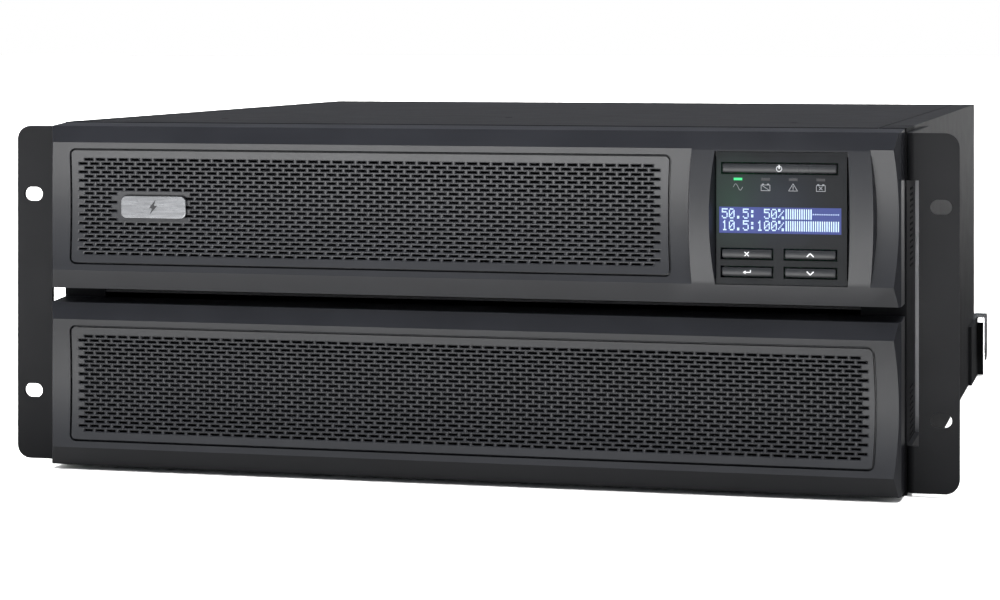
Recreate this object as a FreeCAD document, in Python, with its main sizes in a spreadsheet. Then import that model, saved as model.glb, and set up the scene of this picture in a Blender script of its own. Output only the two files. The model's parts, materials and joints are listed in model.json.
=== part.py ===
import FreeCAD, Part

import math
import os

import Sketcher
from FreeCAD import Placement, Rotation, Vector

# Uninterruptible power supply, four rack units high, for a 19-inch rack.
# Frame: X to the right of somebody facing the unit, Y from front to back, Z up.
# Origin: middle of the width, on the front face of the rack ears, at the floor the unit stands on.
# Every length is in millimetres.

DIMENSIONS = [
    # name, value, meaning
    ("rack_width", 482.6, "width over the rack ears"),
    ("hole_spacing_x", 465.1, "rack hole spacing across"),
    ("hole_spacing_z", 101.6, "rack hole spacing up"),
    ("hole_low", 36.9, "height of the lower rack holes"),
    ("slot_length", 10.3, "length of a rack slot"),
    ("slot_width", 7.1, "width of a rack slot"),
    ("ear_foot", 1.8, "lower edge of the ears"),
    ("ear_height", 172, "height of the ears"),
    ("ear_sheet", 2.5, "thickness of the ears"),
    ("ear_bend", 4, "outer bend radius of the ears"),
    ("ear_corner", 7, "corner radius of the ears"),
    ("ear_reach", 100, "length of the ear's side flange"),
    ("ear_window_low", 24.3, "lower edge of the cut-out at the bend"),
    ("ear_window_high", 151.1, "upper edge of the cut-out at the bend"),
    ("ear_window_width", 6, "cut-out's width on the front flange"),
    ("ear_window_reach", 48, "cut-out's length on the side flange"),
    ("chassis_width", 432, "width of the steel chassis"),
    ("chassis_front", 3, "front edge of the chassis"),
    ("chassis_back", 478, "outer face of the rear panel"),
    ("chassis_height", 176, "height of the chassis"),
    ("sheet", 1.2, "thickness of the chassis steel"),
    ("top_fold", 13, "side walls folded over the top"),
    ("front_lip", 22, "width of the front return lips"),
    ("cover_gap", 0.7, "gap between the cover and the folds"),
    ("deck_height", 88.4, "underside of the shelf between the bays"),
    ("bezel_width", 430.4, "width of each bezel"),
    ("bezel_height", 83.6, "height of each bezel"),
    ("lower_foot", 2.4, "lower edge of the lower bezel"),
    ("upper_foot", 92.1, "lower edge of the upper bezel"),
    ("bezel_back", 1.7, "rear rim of the bezels"),
    ("bezel_wall", 2.6, "wall of the bezels"),
    ("ridge_reach", 22, "ridges stand this far in front of the ears"),
    ("ridge_low", 9.4, "lower ridge above the bezel's lower edge"),
    ("ridge_high", 74.2, "upper ridge above the bezel's lower edge"),
    ("bevel_step", 4, "bevels fall back by this much"),
    ("top_rise", 1.2, "top face rises towards the rear"),
    ("band_radius", 128, "radius of the hollow band"),
    ("band_depth", 4.12, "depth of the hollow band"),
    ("end_chamfer", 3, "end chamfer seen from the front"),
    ("end_chamfer_depth", 6.1, "end chamfer seen from above"),
    ("grille_left", -202.3, "left edge of both grilles"),
    ("upper_grille_right", 105.5, "right edge of the upper grille"),
    ("lower_grille_right", 201.7, "right edge of the lower grille"),
    ("grille_half", 28.3, "half height of the grilles"),
    ("grille_sheet", 1.5, "thickness of the perforated sheet"),
    ("grille_rim", 3, "rim that bears on the back of the bezel"),
    ("groove", 1.1, "groove around a grille"),
    ("row_pitch", 2.172, "spacing of the slot rows along the curve"),
    ("vent_length", 4.6, "length of a vent slot"),
    ("vent_width", 1.05, "width of a vent slot"),
    ("first_vent", -196.2, "first slot of the long rows"),
    ("upper_pitch", 6.27, "slot spacing of the upper grille"),
    ("lower_pitch", 6.14, "slot spacing of the lower grille"),
    ("badge_x", -159, "middle of the badge"),
    ("badge_length", 34.8, "length of the badge"),
    ("badge_height", 11.6, "height of the badge"),
    ("badge_sheet", 1.8, "thickness of the badge"),
    ("barrel_left", 115, "left side of the display bulge"),
    ("barrel_right", 202.5, "right side of the display bulge"),
    ("barrel_bow", 1.3, "the bulge's sides bow outwards"),
    ("barrel_swell", 2.5, "the bulge stands proud of the ridges"),
    ("window_left", 127.4, "left edge of the display opening"),
    ("window_right", 190.7, "right edge of the display opening"),
    ("window_low", 101.3, "lower edge of the display opening"),
    ("window_high", 165.3, "upper edge of the display opening"),
    ("panel_face", -21, "front face of the display panel"),
    ("panel_sheet", 2, "thickness of the display panel"),
    ("key_face", -21.9, "front face of the keys at rest"),
    ("key_gap", 0.7, "gap around a key"),
    ("stud_radius", 3, "snap studs of the bezels"),
    ("stud_hole", 3.3, "holes for the snap studs"),
    ("tray_width", 386, "outer width of the battery tray"),
    ("tray_front", 8, "front wall of the battery tray"),
    ("tray_length", 318, "length of the battery tray"),
    ("tray_wall", 28, "height of the tray's side walls"),
    ("block_length", 151, "length of one battery block"),
    ("block_width", 94, "width of one battery block"),
    ("block_height", 65, "height of one battery block, lying flat"),
    ("fan_size", 80, "side of a fan frame"),
    ("fan_depth", 25, "depth of a fan frame"),
    ("fan_bore", 38, "radius of a fan's opening"),
    ("fan_height", 132, "height of the fan axes"),
    ("left_fan_x", -168, "axis of the left fan"),
    ("right_fan_x", -82, "axis of the right fan"),
    ("rotor_radius", 36, "radius of a fan rotor"),
    ("hub_radius", 16, "radius of a rotor hub"),
    ("shaft_radius", 3, "radius of a fan shaft"),
    ("running_gap", 0.05, "radial running clearance"),
    ("board_height", 96, "underside of the main board"),
    ("board_sheet", 1.6, "thickness of the circuit boards"),
]


class Size:
    """A length that carries both its value and its expression in the sheet."""

    def __init__(self, number, text):
        self.number = number
        self.text = text

    def __float__(self):
        return float(self.number)

    def __add__(self, other):
        return Size(float(self) + float(other), f"({self.text} + {text_of(other)})")

    def __radd__(self, other):
        return Size(float(other) + float(self), f"({text_of(other)} + {self.text})")

    def __sub__(self, other):
        return Size(float(self) - float(other), f"({self.text} - {text_of(other)})")

    def __rsub__(self, other):
        return Size(float(other) - float(self), f"({text_of(other)} - {self.text})")

    def __mul__(self, other):
        return Size(float(self) * float(other), f"({self.text} * {text_of(other)})")

    def __rmul__(self, other):
        return self * other

    def __truediv__(self, other):
        return Size(float(self) / float(other), f"({self.text} / {text_of(other)})")

    def __neg__(self):
        return Size(-float(self), f"(0 - {self.text})")


def text_of(size):
    """The expression of a Size, or a plain number as text."""
    return size.text if isinstance(size, Size) else f"{float(size):.6f}"


class Dimensions:
    """The driving dimensions, each readable by name as a Size."""

    def __init__(self, document):
        sheet = document.addObject("Spreadsheet::Sheet", "Dims")
        for row, (name, value, meaning) in enumerate(DIMENSIONS, start=1):
            sheet.set(f"A{row}", name)
            sheet.set(f"B{row}", str(value))
            sheet.set(f"C{row}", meaning)
            sheet.setAlias(f"B{row}", name)
            setattr(self, name, Size(value, f"Dims.{name}"))
        document.recompute()


doc = FreeCAD.newDocument("PowerSupply")
D = Dimensions(doc)
nodes = []


# ---------------------------------------------------------------- building blocks


def bind(item, prop, size):
    item.setExpression(prop, text_of(size))


def place(item, x, y, z):
    for axis, size in zip("xyz", (x, y, z)):
        bind(item, f"Placement.Base.{axis}", size)


def finish(item, node):
    """Name a finished sub-part: its label is the name of its file."""
    item.Label = node
    nodes.append(item)
    return item


def box(name, low, size):
    """A block given by its lowest corner and its three sizes."""
    item = doc.addObject("Part::Box", name)
    for prop, length in zip(("Length", "Width", "Height"), size):
        bind(item, prop, length)
    place(item, *low)
    return item


def span(name, xs, ys, zs):
    """A block given by its lower and upper limits on each axis."""
    low = (xs[0], ys[0], zs[0])
    return box(name, low, (xs[1] - xs[0], ys[1] - ys[0], zs[1] - zs[0]))


def rod(name, start, axis, radius, length):
    """A round bar from start along the X, Y or Z axis."""
    item = doc.addObject("Part::Cylinder", name)
    bind(item, "Radius", radius)
    bind(item, "Height", length)
    directions = {"X": Vector(1, 0, 0), "Y": Vector(0, 1, 0), "Z": Vector(0, 0, 1)}
    item.Placement = Placement(Vector(), Rotation(Vector(0, 0, 1), directions[axis]))
    place(item, *start)
    return item


def ball(name, centre, radius):
    item = doc.addObject("Part::Sphere", name)
    bind(item, "Radius", radius)
    place(item, *centre)
    return item


def ring(name, start, radius, wire):
    """A ring of square wire around an axis along Y, from start backwards."""
    x, y, z = start
    outer = rod(f"{name}_outer", (x, y, z), "Y", radius + wire / 2, wire)
    inner = rod(f"{name}_inner", (x, y - 1, z), "Y", radius - wire / 2, wire + 2)
    return cut(name, outer, inner)


def fuse(name, items):
    item = doc.addObject("Part::MultiFuse", name)
    item.Shapes = items
    item.Refine = True
    return item


def cut(name, base, tools):
    """Base without the tools, which may be one item or a list."""
    item = doc.addObject("Part::Cut", name)
    item.Base = base
    item.Tool = tools if not isinstance(tools, list) else group(f"{name}Tools", tools)
    return item


def group(name, items):
    """Separate solids held together as one item."""
    item = doc.addObject("Part::Compound", name)
    item.Links = items
    return item


def new_body(name):
    return doc.addObject("PartDesign::Body", name)


def new_sketch(body, role, offset=0):
    """A sketch on one of the body's origin planes, moved along the plane's normal."""
    sketch = body.newObject("Sketcher::SketchObject", f"{body.Name}Sketch")
    plane = next(item for item in body.Origin.OriginFeatures if item.Role == role)
    sketch.AttachmentSupport = (plane, [""])
    sketch.MapMode = "FlatFace"
    bind(sketch, "AttachmentOffset.Base.z", offset)
    return sketch


def hold_point(sketch, geometry, end, x, y):
    """Hold one end of a line or arc at a bound place."""
    for kind, size in (("DistanceX", x), ("DistanceY", y)):
        constraint = Sketcher.Constraint(kind, -1, 1, geometry, end, float(size))
        number = sketch.addConstraint(constraint)
        bind(sketch, f"Constraints[{number}]", size)


def arc_between(start, end, radius):
    """Arc from start to end: a positive radius bulges to the right of the way there."""
    chord = end - start
    side = Vector(chord.y, -chord.x, 0).normalize() * math.copysign(1, radius)
    rise = abs(radius) - math.sqrt(radius**2 - (chord.Length / 2) ** 2)
    middle = (start + end) / 2 + side * rise
    if radius > 0:
        return Part.Arc(start, middle, end)
    return Part.Arc(end, middle, start)


def outline(sketch, corners, arcs=None):
    """A closed outline. Each corner is bound; arcs maps a side's number to its radius."""
    arcs = arcs or {}
    points = [Vector(float(x), float(y), 0) for x, y in corners]
    first = sketch.GeometryCount
    count = len(corners)
    for side, start in enumerate(points):
        end = points[(side + 1) % count]
        if side in arcs:
            sketch.addGeometry(arc_between(start, end, float(arcs[side])))
        else:
            sketch.addGeometry(Part.LineSegment(start, end))
    for side, (x, y) in enumerate(corners):
        clockwise = side in arcs and float(arcs[side]) < 0
        hold_point(sketch, first + side, 2 if clockwise else 1, x, y)
    for side in range(count):
        following = (side + 1) % count
        leaves = 1 if side in arcs and float(arcs[side]) < 0 else 2
        arrives = 2 if following in arcs and float(arcs[following]) < 0 else 1
        ends = (first + side, leaves, first + following, arrives)
        sketch.addConstraint(Sketcher.Constraint("Coincident", *ends))
    for side, radius in arcs.items():
        constraint = Sketcher.Constraint("Radius", first + side, abs(float(radius)))
        number = sketch.addConstraint(constraint)
        bind(sketch, f"Constraints[{number}]", radius if float(radius) > 0 else -radius)
    return sketch


def rectangle(sketch, xs, ys):
    corners = [(xs[0], ys[0]), (xs[1], ys[0]), (xs[1], ys[1]), (xs[0], ys[1])]
    return outline(sketch, corners)


def circle(sketch, x, y, radius):
    shape = Part.Circle(Vector(float(x), float(y), 0), Vector(0, 0, 1), float(radius))
    number = sketch.addGeometry(shape)
    hold_point(sketch, number, 3, x, y)
    constraint = sketch.addConstraint(Sketcher.Constraint("Radius", number, float(radius)))
    bind(sketch, f"Constraints[{constraint}]", radius)
    return sketch


def pad(body, sketch, length, forward=True):
    """Solid from a sketch, along its normal or against it."""
    item = body.newObject("PartDesign::Pad", f"{body.Name}Pad")
    item.Profile = sketch
    item.Reversed = not forward
    bind(item, "Length", length)
    return item


def pocket(body, sketch, length, forward=True):
    """Hole from a sketch, along its normal or against it."""
    item = body.newObject("PartDesign::Pocket", f"{body.Name}Pocket")
    item.Profile = sketch
    item.Reversed = forward
    bind(item, "Length", length)
    return item


def round_edges(body, radius, chosen):
    """Round the edges of the body's last feature for which chosen(edge) is true."""
    doc.recompute()
    base = body.Tip
    edges = base.Shape.Edges
    names = [f"Edge{number}" for number, edge in enumerate(edges, start=1) if chosen(edge)]
    item = body.newObject("PartDesign::Fillet", f"{body.Name}Fillet")
    item.Base = (base, names)
    bind(item, "Radius", radius)
    return item


def runs_along(edge, axis):
    """True for a straight edge parallel to the X, Y or Z axis."""
    if len(edge.Vertexes) < 2:
        return False
    chord = edge.Vertexes[1].Point - edge.Vertexes[0].Point
    along = abs(getattr(chord, axis.lower()))
    return chord.Length - along < 1e-6 and abs(edge.Length - chord.Length) < 1e-6


# ---------------------------------------------------------------- chassis


half_width = D.chassis_width / 2
inner_half = half_width - D.sheet
inner_top = D.chassis_height - D.sheet
deck_top = D.deck_height + D.sheet
panel_inner = D.chassis_back - D.sheet
SIDES = {"left": -1, "right": 1}
COVER_SCREWS = [(-10, 126), (-10, 319), (153, 71), (-153, 71), (153, 440), (-153, 440)]
EAR_SCREWS = [(68, 20), (68, 62), (68, 118), (68, 158), (90, 20), (90, 158)]


def chassis_base():
    """Floor and side walls in one bent sheet, with side vents and front lips.

    The floor reaches a little further forward than the walls, to the plane of the ears' faces.
    """
    body = new_body("ChassisSheet")
    profile = new_sketch(body, "XZ_Plane", -D.chassis_front)
    fold = half_width - D.top_fold
    corners = [
        (-half_width, 0),
        (half_width, 0),
        (half_width, D.chassis_height),
        (fold, D.chassis_height),
        (fold, inner_top),
        (inner_half, inner_top),
        (inner_half, D.sheet),
        (-inner_half, D.sheet),
        (-inner_half, inner_top),
        (-fold, inner_top),
        (-fold, D.chassis_height),
        (-half_width, D.chassis_height),
    ]
    outline(profile, corners)
    pad(body, profile, D.chassis_back - D.chassis_front, forward=False)

    vents = []
    column_pitch, row_pitch, vent_depth, vent_rise = 5.6, 2.87, 3.6, 1.3
    for low, count in ((26, 9), (108, 14)):
        for column in range(3):
            for row in range(count):
                corner = (-half_width - 1, 20 + column * column_pitch, low + row * row_pitch)
                size = (D.chassis_width + 2, vent_depth, vent_rise)
                vents.append(box(f"SideVent_{low}_{column}_{row}", corner, size))
    walls = cut("ChassisWalls", body, vents)

    lips = [span("FloorLip", (-inner_half, inner_half), (0, D.chassis_front), (0, D.sheet))]
    front = (D.chassis_front, D.chassis_front + D.sheet)
    for side, sign in SIDES.items():
        xs = sorted((sign * inner_half, sign * (half_width - D.front_lip)), key=float)
        lip = span(f"FrontLip_{side}", xs, front, (D.sheet, inner_top))
        screw_hole = rod(f"LipHole_{side}", (sign * 203, 0, 66), "Y", 2.6, 20)
        lips.append(cut(f"FrontLipDrilled_{side}", lip, screw_hole))
    finish(fuse("ChassisBase", [walls, *lips]), "chassis_base")


def top_cover():
    """Cover plate set between the folds, with joggled edges under them."""
    plate_half = half_width - D.top_fold - D.cover_gap
    joggle = half_width - 5
    ys = (D.chassis_front, D.chassis_back)
    plate = span("CoverPlate", (-plate_half, plate_half), ys, (inner_top, D.chassis_height))
    under = (inner_top - D.sheet, inner_top)
    between = (D.chassis_front + D.sheet, panel_inner)
    left = span("CoverJoggleLeft", (-joggle, -plate_half + 8), between, under)
    right = span("CoverJoggleRight", (plate_half - 8, joggle), between, under)
    solid = fuse("CoverSheet", [plate, left, right])
    holes = [
        rod(f"CoverHole_{number}", (x, y, inner_top - 5), "Z", 2.2, 10)
        for number, (x, y) in enumerate(COVER_SCREWS)
    ]
    finish(cut("TopCover", solid, holes), "top_cover")


def cover_screws():
    """Countersunk screws that lie flush in the cover."""
    screws = []
    for number, (x, y) in enumerate(COVER_SCREWS):
        shank = rod(f"CoverShank_{number}", (x, y, inner_top - 6), "Z", 2.1, 6.8)
        screws.append(shank)
    finish(group("CoverScrews", screws), "cover_screws")


def mid_deck():
    """Shelf between the battery bay and the electronics, with a cable slot."""
    ys = (D.chassis_front + D.sheet, D.chassis_back - D.sheet)
    shelf = span("DeckSheet", (-inner_half, inner_half), ys, (D.deck_height, deck_top))
    slot = span("DeckSlot", (-26, 26), (366, 400), (D.deck_height - 5, deck_top + 5))
    finish(cut("MidDeck", shelf, slot), "mid_deck")


def stud_places(foot):
    """Middles of a bezel's four snap studs."""
    heights = (foot + 6.1, foot + 76.4)
    return [(sign * 186, height) for sign in (-1, 1) for height in heights]


def face_plate(name, foot, high, bezel_foot, openings):
    """Steel plate behind a bezel, with holes for its studs and the given openings."""
    plate_half = half_width - 4.2
    body = new_body(name)
    sketch = new_sketch(body, "XZ_Plane", -D.chassis_front)
    rectangle(sketch, (-plate_half, plate_half), (foot, high))
    for x, z in stud_places(bezel_foot):
        circle(sketch, x, z, D.stud_hole)
    for xs, zs in openings:
        rectangle(sketch, xs, zs)
    pad(body, sketch, D.sheet)
    return body


def front_panel():
    """Plate behind the upper bezel, with vent openings and a cable opening."""
    foot = D.upper_foot + 1
    vents = [((-170 + 52 * i, -126 + 52 * i), (foot + 20, foot + 62)) for i in range(5)]
    openings = [*vents, ((150, 168), (foot + 30, foot + 44))]
    plate = face_plate("FrontPanel", foot, D.chassis_height - 3, D.upper_foot, openings)
    finish(plate, "front_panel")


def rack_ear(side, sign):
    """Bent ear with two rack slots and a cut-out at the bend."""
    tip = D.rack_width / 2
    bend_end = half_width + D.ear_bend
    inner_bend = D.ear_bend - D.ear_sheet
    body = new_body(f"Ear_{side}")
    profile = new_sketch(body, "XY_Plane", D.ear_foot)
    corners = [
        (sign * tip, 0),
        (sign * tip, D.ear_sheet),
        (sign * bend_end, D.ear_sheet),
        (sign * (half_width + D.ear_sheet), D.ear_bend),
        (sign * (half_width + D.ear_sheet), D.ear_reach),
        (sign * half_width, D.ear_reach),
        (sign * half_width, D.ear_bend),
        (sign * bend_end, 0),
    ]
    outline(profile, corners, {2: -sign * inner_bend, 6: sign * D.ear_bend})
    pad(body, profile, D.ear_height)

    window = new_sketch(body, "XZ_Plane")
    xs = sorted((sign * (half_width - 1), sign * (half_width + D.ear_window_width)), key=float)
    rectangle(window, xs, (D.ear_window_low, D.ear_window_high))
    pocket(body, window, D.ear_window_reach, forward=False)
    round_edges(body, D.ear_corner, lambda edge: on_ear_corner(edge, tip))

    slots = []
    straight = D.slot_length - D.slot_width
    middle = sign * D.hole_spacing_x / 2
    for level, z in enumerate((D.hole_low, D.hole_low + D.hole_spacing_z)):
        for end in (-1, 1):
            start = (middle + end * straight / 2, -1, z)
            slots.append(rod(f"EarSlot_{side}_{level}_{end + 1}", start, "Y", D.slot_width / 2, 6))
        low = (middle - straight / 2, -1, z - D.slot_width / 2)
        slots.append(box(f"EarSlotBar_{side}_{level}", low, (straight, 6, D.slot_width)))
    for number, (y, z) in enumerate(EAR_SCREWS):
        start = (sign * half_width - 5, y, z)
        slots.append(rod(f"EarHole_{side}_{number}", start, "X", 2.2, 10))
    cutters = fuse(f"EarSlots_{side}", slots)
    finish(cut(f"RackEar_{side}", body, cutters), f"rack_ear_{side}")


def on_ear_corner(edge, tip):
    """True for the short edges at the upper and lower outer corners of an ear."""
    middle = edge.CenterOfMass
    heights = (float(D.ear_foot), float(D.ear_foot + D.ear_height))
    at_tip = abs(abs(middle.x) - float(tip)) < 0.01
    return runs_along(edge, "Y") and at_tip and min(abs(middle.z - z) for z in heights) < 0.01


def ear_screws():
    """Pan-head screws that hold the ears to the side walls."""
    screws = []
    for side, sign in SIDES.items():
        face = half_width + D.ear_sheet
        for number, (y, z) in enumerate(EAR_SCREWS):
            name = f"EarScrew_{side}_{number}"
            head_start = sign * face if sign > 0 else -face - 2
            head = rod(f"{name}_head", (head_start, y, z), "X", 4, 2)
            shank_start = half_width if sign > 0 else -face
            shank = rod(f"{name}_shank", (shank_start, y, z), "X", 2, D.ear_sheet)
            screws.append(fuse(name, [head, shank]))
    finish(group("EarScrews", screws), "ear_screws")


def rear_brackets():
    """Arms that rest on the rear rails, one on each side wall."""
    arms = []
    for side, sign in SIDES.items():
        plate = mirrored_span(f"ArmPlate_{side}", sign, (0, 2), (424, 484), (0, 37))
        lip = mirrored_span(f"ArmLip_{side}", sign, (2, 5.5), (482, 484), (0, 34))
        arms.append(fuse(f"Arm_{side}", [plate, lip]))
    finish(group("RearBrackets", arms), "rear_brackets")


def mirrored_span(name, sign, outwards, ys, zs):
    """A block beside a side wall: outwards is measured from the wall."""
    xs = sorted((sign * (half_width + outwards[0]), sign * (half_width + outwards[1])), key=float)
    return span(name, xs, ys, zs)


def rear_clips():
    """Zinc-plated tongues that hook behind the rear rails."""
    clips = []
    for side, sign in SIDES.items():
        bridge = mirrored_span(f"ClipBridge_{side}", sign, (0, 8), (470, 484), (38.2, 40))
        tongue = mirrored_span(f"ClipTongue_{side}", sign, (6.8, 8), (470, 484), (17, 40))
        tip_start = sign * (half_width + 6.8) if sign > 0 else -half_width - 8
        tip = rod(f"ClipTip_{side}", (tip_start, 477, 17), "X", 7, 1.2)
        foot = mirrored_span(f"ClipFoot_{side}", sign, (0, 1.2), (470, 484), (37, 40))
        clips.append(fuse(f"Clip_{side}", [bridge, tongue, tip, foot]))
    finish(group("RearClips", clips), "rear_clips")


# ---------------------------------------------------------------- bezels and grilles


def bezel_section(foot, wall=0):
    """Corners of a bezel's section, or of the hollow one wall inside it."""
    front = -D.ridge_reach + wall
    bevel_top = foot + D.bezel_height - D.top_rise - wall
    return [
        (D.bezel_back, foot + wall),
        (front + D.bevel_step, foot + wall),
        (front, foot + D.ridge_low),
        (front, foot + D.ridge_high),
        (front + D.bevel_step, bevel_top),
        (D.bezel_back, foot + D.bezel_height - wall),
    ]


def bezel_shell(name, foot, grille_right):
    """Hollow moulding with a concave front band and an opening for its grille."""
    half = D.bezel_width / 2
    body = new_body(name)
    section = new_sketch(body, "YZ_Plane", -half)
    outline(section, bezel_section(foot), {2: D.band_radius})
    pad(body, section, D.bezel_width)

    hollow = new_sketch(body, "YZ_Plane", D.bezel_wall - half)
    outline(hollow, bezel_section(foot, D.bezel_wall), {2: D.band_radius + D.bezel_wall})
    pocket(body, hollow, D.bezel_width - 2 * D.bezel_wall)

    chamfers = new_sketch(body, "XY_Plane", foot - 1)
    for sign in (-1, 1):
        corners = [
            (sign * (half - D.end_chamfer), -D.ridge_reach),
            (sign * half, -D.ridge_reach + D.end_chamfer_depth),
            (sign * (half + 5), -D.ridge_reach + D.end_chamfer_depth),
            (sign * (half + 5), -D.ridge_reach - 5),
            (sign * (half - D.end_chamfer), -D.ridge_reach - 5),
        ]
        outline(chamfers, corners)
    pocket(body, chamfers, D.bezel_height + 2)

    opening = new_sketch(body, "XZ_Plane", D.ridge_reach + 5)
    middle = foot + (D.ridge_low + D.ridge_high) / 2
    reach = D.grille_half + D.groove
    xs = (D.grille_left - D.groove, grille_right + D.groove)
    rectangle(opening, xs, (middle - reach, middle + reach))
    pocket(body, opening, D.ridge_reach + 5, forward=False)

    studs = [
        rod(f"{name}Stud_{number}", (x, -D.ridge_reach + 3, z), "Y", D.stud_radius, 25)
        for number, (x, z) in enumerate(stud_places(foot))
    ]
    return body, studs


def display_barrel():
    """Bulge of the upper bezel around the display: convex front, sides bowed outwards."""
    low, high = D.upper_foot + D.ridge_low, D.upper_foot + D.ridge_high
    chord = D.ridge_high - D.ridge_low
    left, right = D.barrel_left + D.barrel_bow, D.barrel_right - D.barrel_bow
    body = new_body("Barrel")
    outline_front = new_sketch(body, "XZ_Plane", D.ridge_reach - 6)
    corners = [(left, low), (right, low), (right, high), (left, high)]
    side_radius = chord * chord / (8 * D.barrel_bow) + D.barrel_bow / 2
    outline(outline_front, corners, {1: side_radius, 3: side_radius})
    pad(body, outline_front, 14)

    swell_radius = chord * chord / (8 * D.barrel_swell) + D.barrel_swell / 2
    trim = new_sketch(body, "YZ_Plane", D.barrel_left - 5)
    corners = [
        (-D.ridge_reach, low),
        (-D.ridge_reach, high),
        (-D.ridge_reach, high + 5),
        (-D.ridge_reach - 20, high + 5),
        (-D.ridge_reach - 20, low - 5),
        (-D.ridge_reach, low - 5),
    ]
    outline(trim, corners, {0: -swell_radius})
    pocket(body, trim, D.barrel_right - D.barrel_left + 10)
    return body


def upper_bezel():
    shell, studs = bezel_shell("UpperBezelShell", D.upper_foot, D.upper_grille_right)
    solid = fuse("UpperBezelSolid", [shell, display_barrel(), *studs])
    window = span(
        "DisplayOpening",
        (D.window_left, D.window_right),
        (-40, 5),
        (D.window_low, D.window_high),
    )
    finish(cut("UpperBezel", solid, window), "upper_bezel")


def lower_bezel():
    shell, studs = bezel_shell("LowerBezelShell", D.lower_foot, D.lower_grille_right)
    finish(fuse("LowerBezel", [shell, *studs]), "lower_bezel")


ROWS = 23


def grille(node, foot, right, pitch, per_row, hidden):
    """Perforated sheet that follows the concave band, with a rim behind the bezel."""
    radius, sheet, rim = float(D.band_radius), float(D.grille_sheet), float(D.grille_rim)
    left, right = float(D.grille_left), float(right)
    half, wall, pitch = float(D.grille_half), float(D.bezel_wall), float(pitch)
    height = float(foot + (D.ridge_low + D.ridge_high) / 2)
    axis_y = float(D.band_depth - D.ridge_reach - D.band_radius)
    row_angle = float(D.row_pitch) / radius

    def curve(at_radius, reach):
        """Points up the curve: one flat facet for each row of slots."""
        limit = math.asin((half + reach) / at_radius)
        angles = [-limit, *((row - ROWS / 2) * row_angle for row in range(ROWS + 1)), limit]
        return [(axis_y + at_radius * math.cos(a), height + at_radius * math.sin(a)) for a in angles]

    def curved(inner, outer, reach):
        """Sheet between two radii, as wide and high as the grille plus reach."""
        x = left - reach
        corners = [Vector(x, y, z) for y, z in curve(inner, reach) + curve(outer, reach)[::-1]]
        face = Part.Face(Part.makePolygon([*corners, corners[0]]))
        return face.extrude(Vector(right - left + 2 * reach, 0, 0))

    back = radius + wall
    skin = curved(radius, radius + sheet, 0)
    ring_part = curved(radius, back + sheet, 0).fuse(curved(back, back + sheet, rim))
    inside = Vector(left + rim, -40, height - half + rim)
    hollow = Part.makeBox(right - left - 2 * rim, 60, 2 * (half - rim), inside)
    shape = ring_part.cut(hollow).fuse(skin).removeSplitter()

    slots = []
    length, width = float(D.vent_length), float(D.vent_width)
    for row in range(ROWS):
        long_row = row % 2 == 1
        z = height - radius * math.sin((row - ROWS // 2) * row_angle)
        for column in range(per_row if long_row else per_row - 1):
            x = float(D.first_vent) + (column + (0 if long_row else 0.5)) * pitch
            if not hidden(x, z):
                low = Vector(x - length / 2, -35, z - width / 2)
                slots.append(Part.makeBox(length, 30, width, low))
    item = doc.addObject("Part::Feature", node)
    item.Shape = shape.cut(slots)
    finish(item, node)


def behind_badge(x, z):
    """True for slots that the badge would hide."""
    beside = abs(x - float(D.badge_x)) < float(D.badge_length) / 2 + 1
    level = abs(z - float(badge_height_middle())) < float(D.badge_height) / 2 + 1
    return beside and level


def badge_height_middle():
    return D.upper_foot + (D.ridge_low + D.ridge_high) / 2


def badge():
    """Plain plate with rounded corners in the upper grille."""
    front = D.band_depth - D.ridge_reach - D.badge_sheet
    body = new_body("Badge")
    sketch = new_sketch(body, "XZ_Plane", -front)
    middle = badge_height_middle()
    xs = (D.badge_x - D.badge_length / 2, D.badge_x + D.badge_length / 2)
    rectangle(sketch, xs, (middle - D.badge_height / 2, middle + D.badge_height / 2))
    pad(body, sketch, D.badge_sheet - 0.2, forward=False)
    round_edges(body, 3, lambda edge: runs_along(edge, "Y"))
    finish(body, "badge")


def dust_filter(node, foot, right):
    """Foam sheet behind a grille."""
    middle = foot + (D.ridge_low + D.ridge_high) / 2
    reach = D.grille_half - D.grille_rim - 0.5
    inset = D.grille_rim + 0.5
    front = D.band_depth - D.ridge_reach + D.grille_sheet
    xs = (D.grille_left + inset, right - inset)
    ys = (front + 0.05, front + 4)
    finish(span(node.title(), xs, ys, (middle - reach, middle + reach)), node)


# ---------------------------------------------------------------- display and keys


KEYS = {
    # node: lowest and highest corner across and up
    "power_button": ((130.8, 185.4), (154.9, 159.3)),
    "esc_button": ((130.6, 154.6), (114.1, 118.4)),
    "enter_button": ((130.6, 154.6), (105.5, 109.8)),
    "up_button": ((160.8, 185.0), (114.1, 118.4)),
    "down_button": ((160.8, 185.0), (105.5, 109.8)),
}
LIGHTS = (138.3, 151.5, 164.7, 177.8)
LIGHT_LEVEL = 151.9
SCREEN = ((129.2, 187.5), (126.1, 138.6))
board_face = D.panel_face + 9


def display_housing():
    """Open-fronted box of the display module, held to the front panel."""
    gap = 0.5
    xs = (D.window_left + gap, D.window_right - gap)
    zs = (D.window_low + gap, D.window_high - gap)
    wall = 1.6
    back = D.chassis_front - D.sheet
    front = D.panel_face + D.panel_sheet
    outer = span("HousingOuter", xs, (front, back), zs)
    inner_xs = (xs[0] + wall, xs[1] - wall)
    inner_zs = (zs[0] + wall, zs[1] - wall)
    inner = span("HousingInner", inner_xs, (front - 1, back - wall), inner_zs)
    cable_slot = span("HousingSlot", (152, 166), (back - 5, back + 5), (126, 134))
    finish(cut("DisplayHousing", outer, [inner, cable_slot]), "display_housing")


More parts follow.
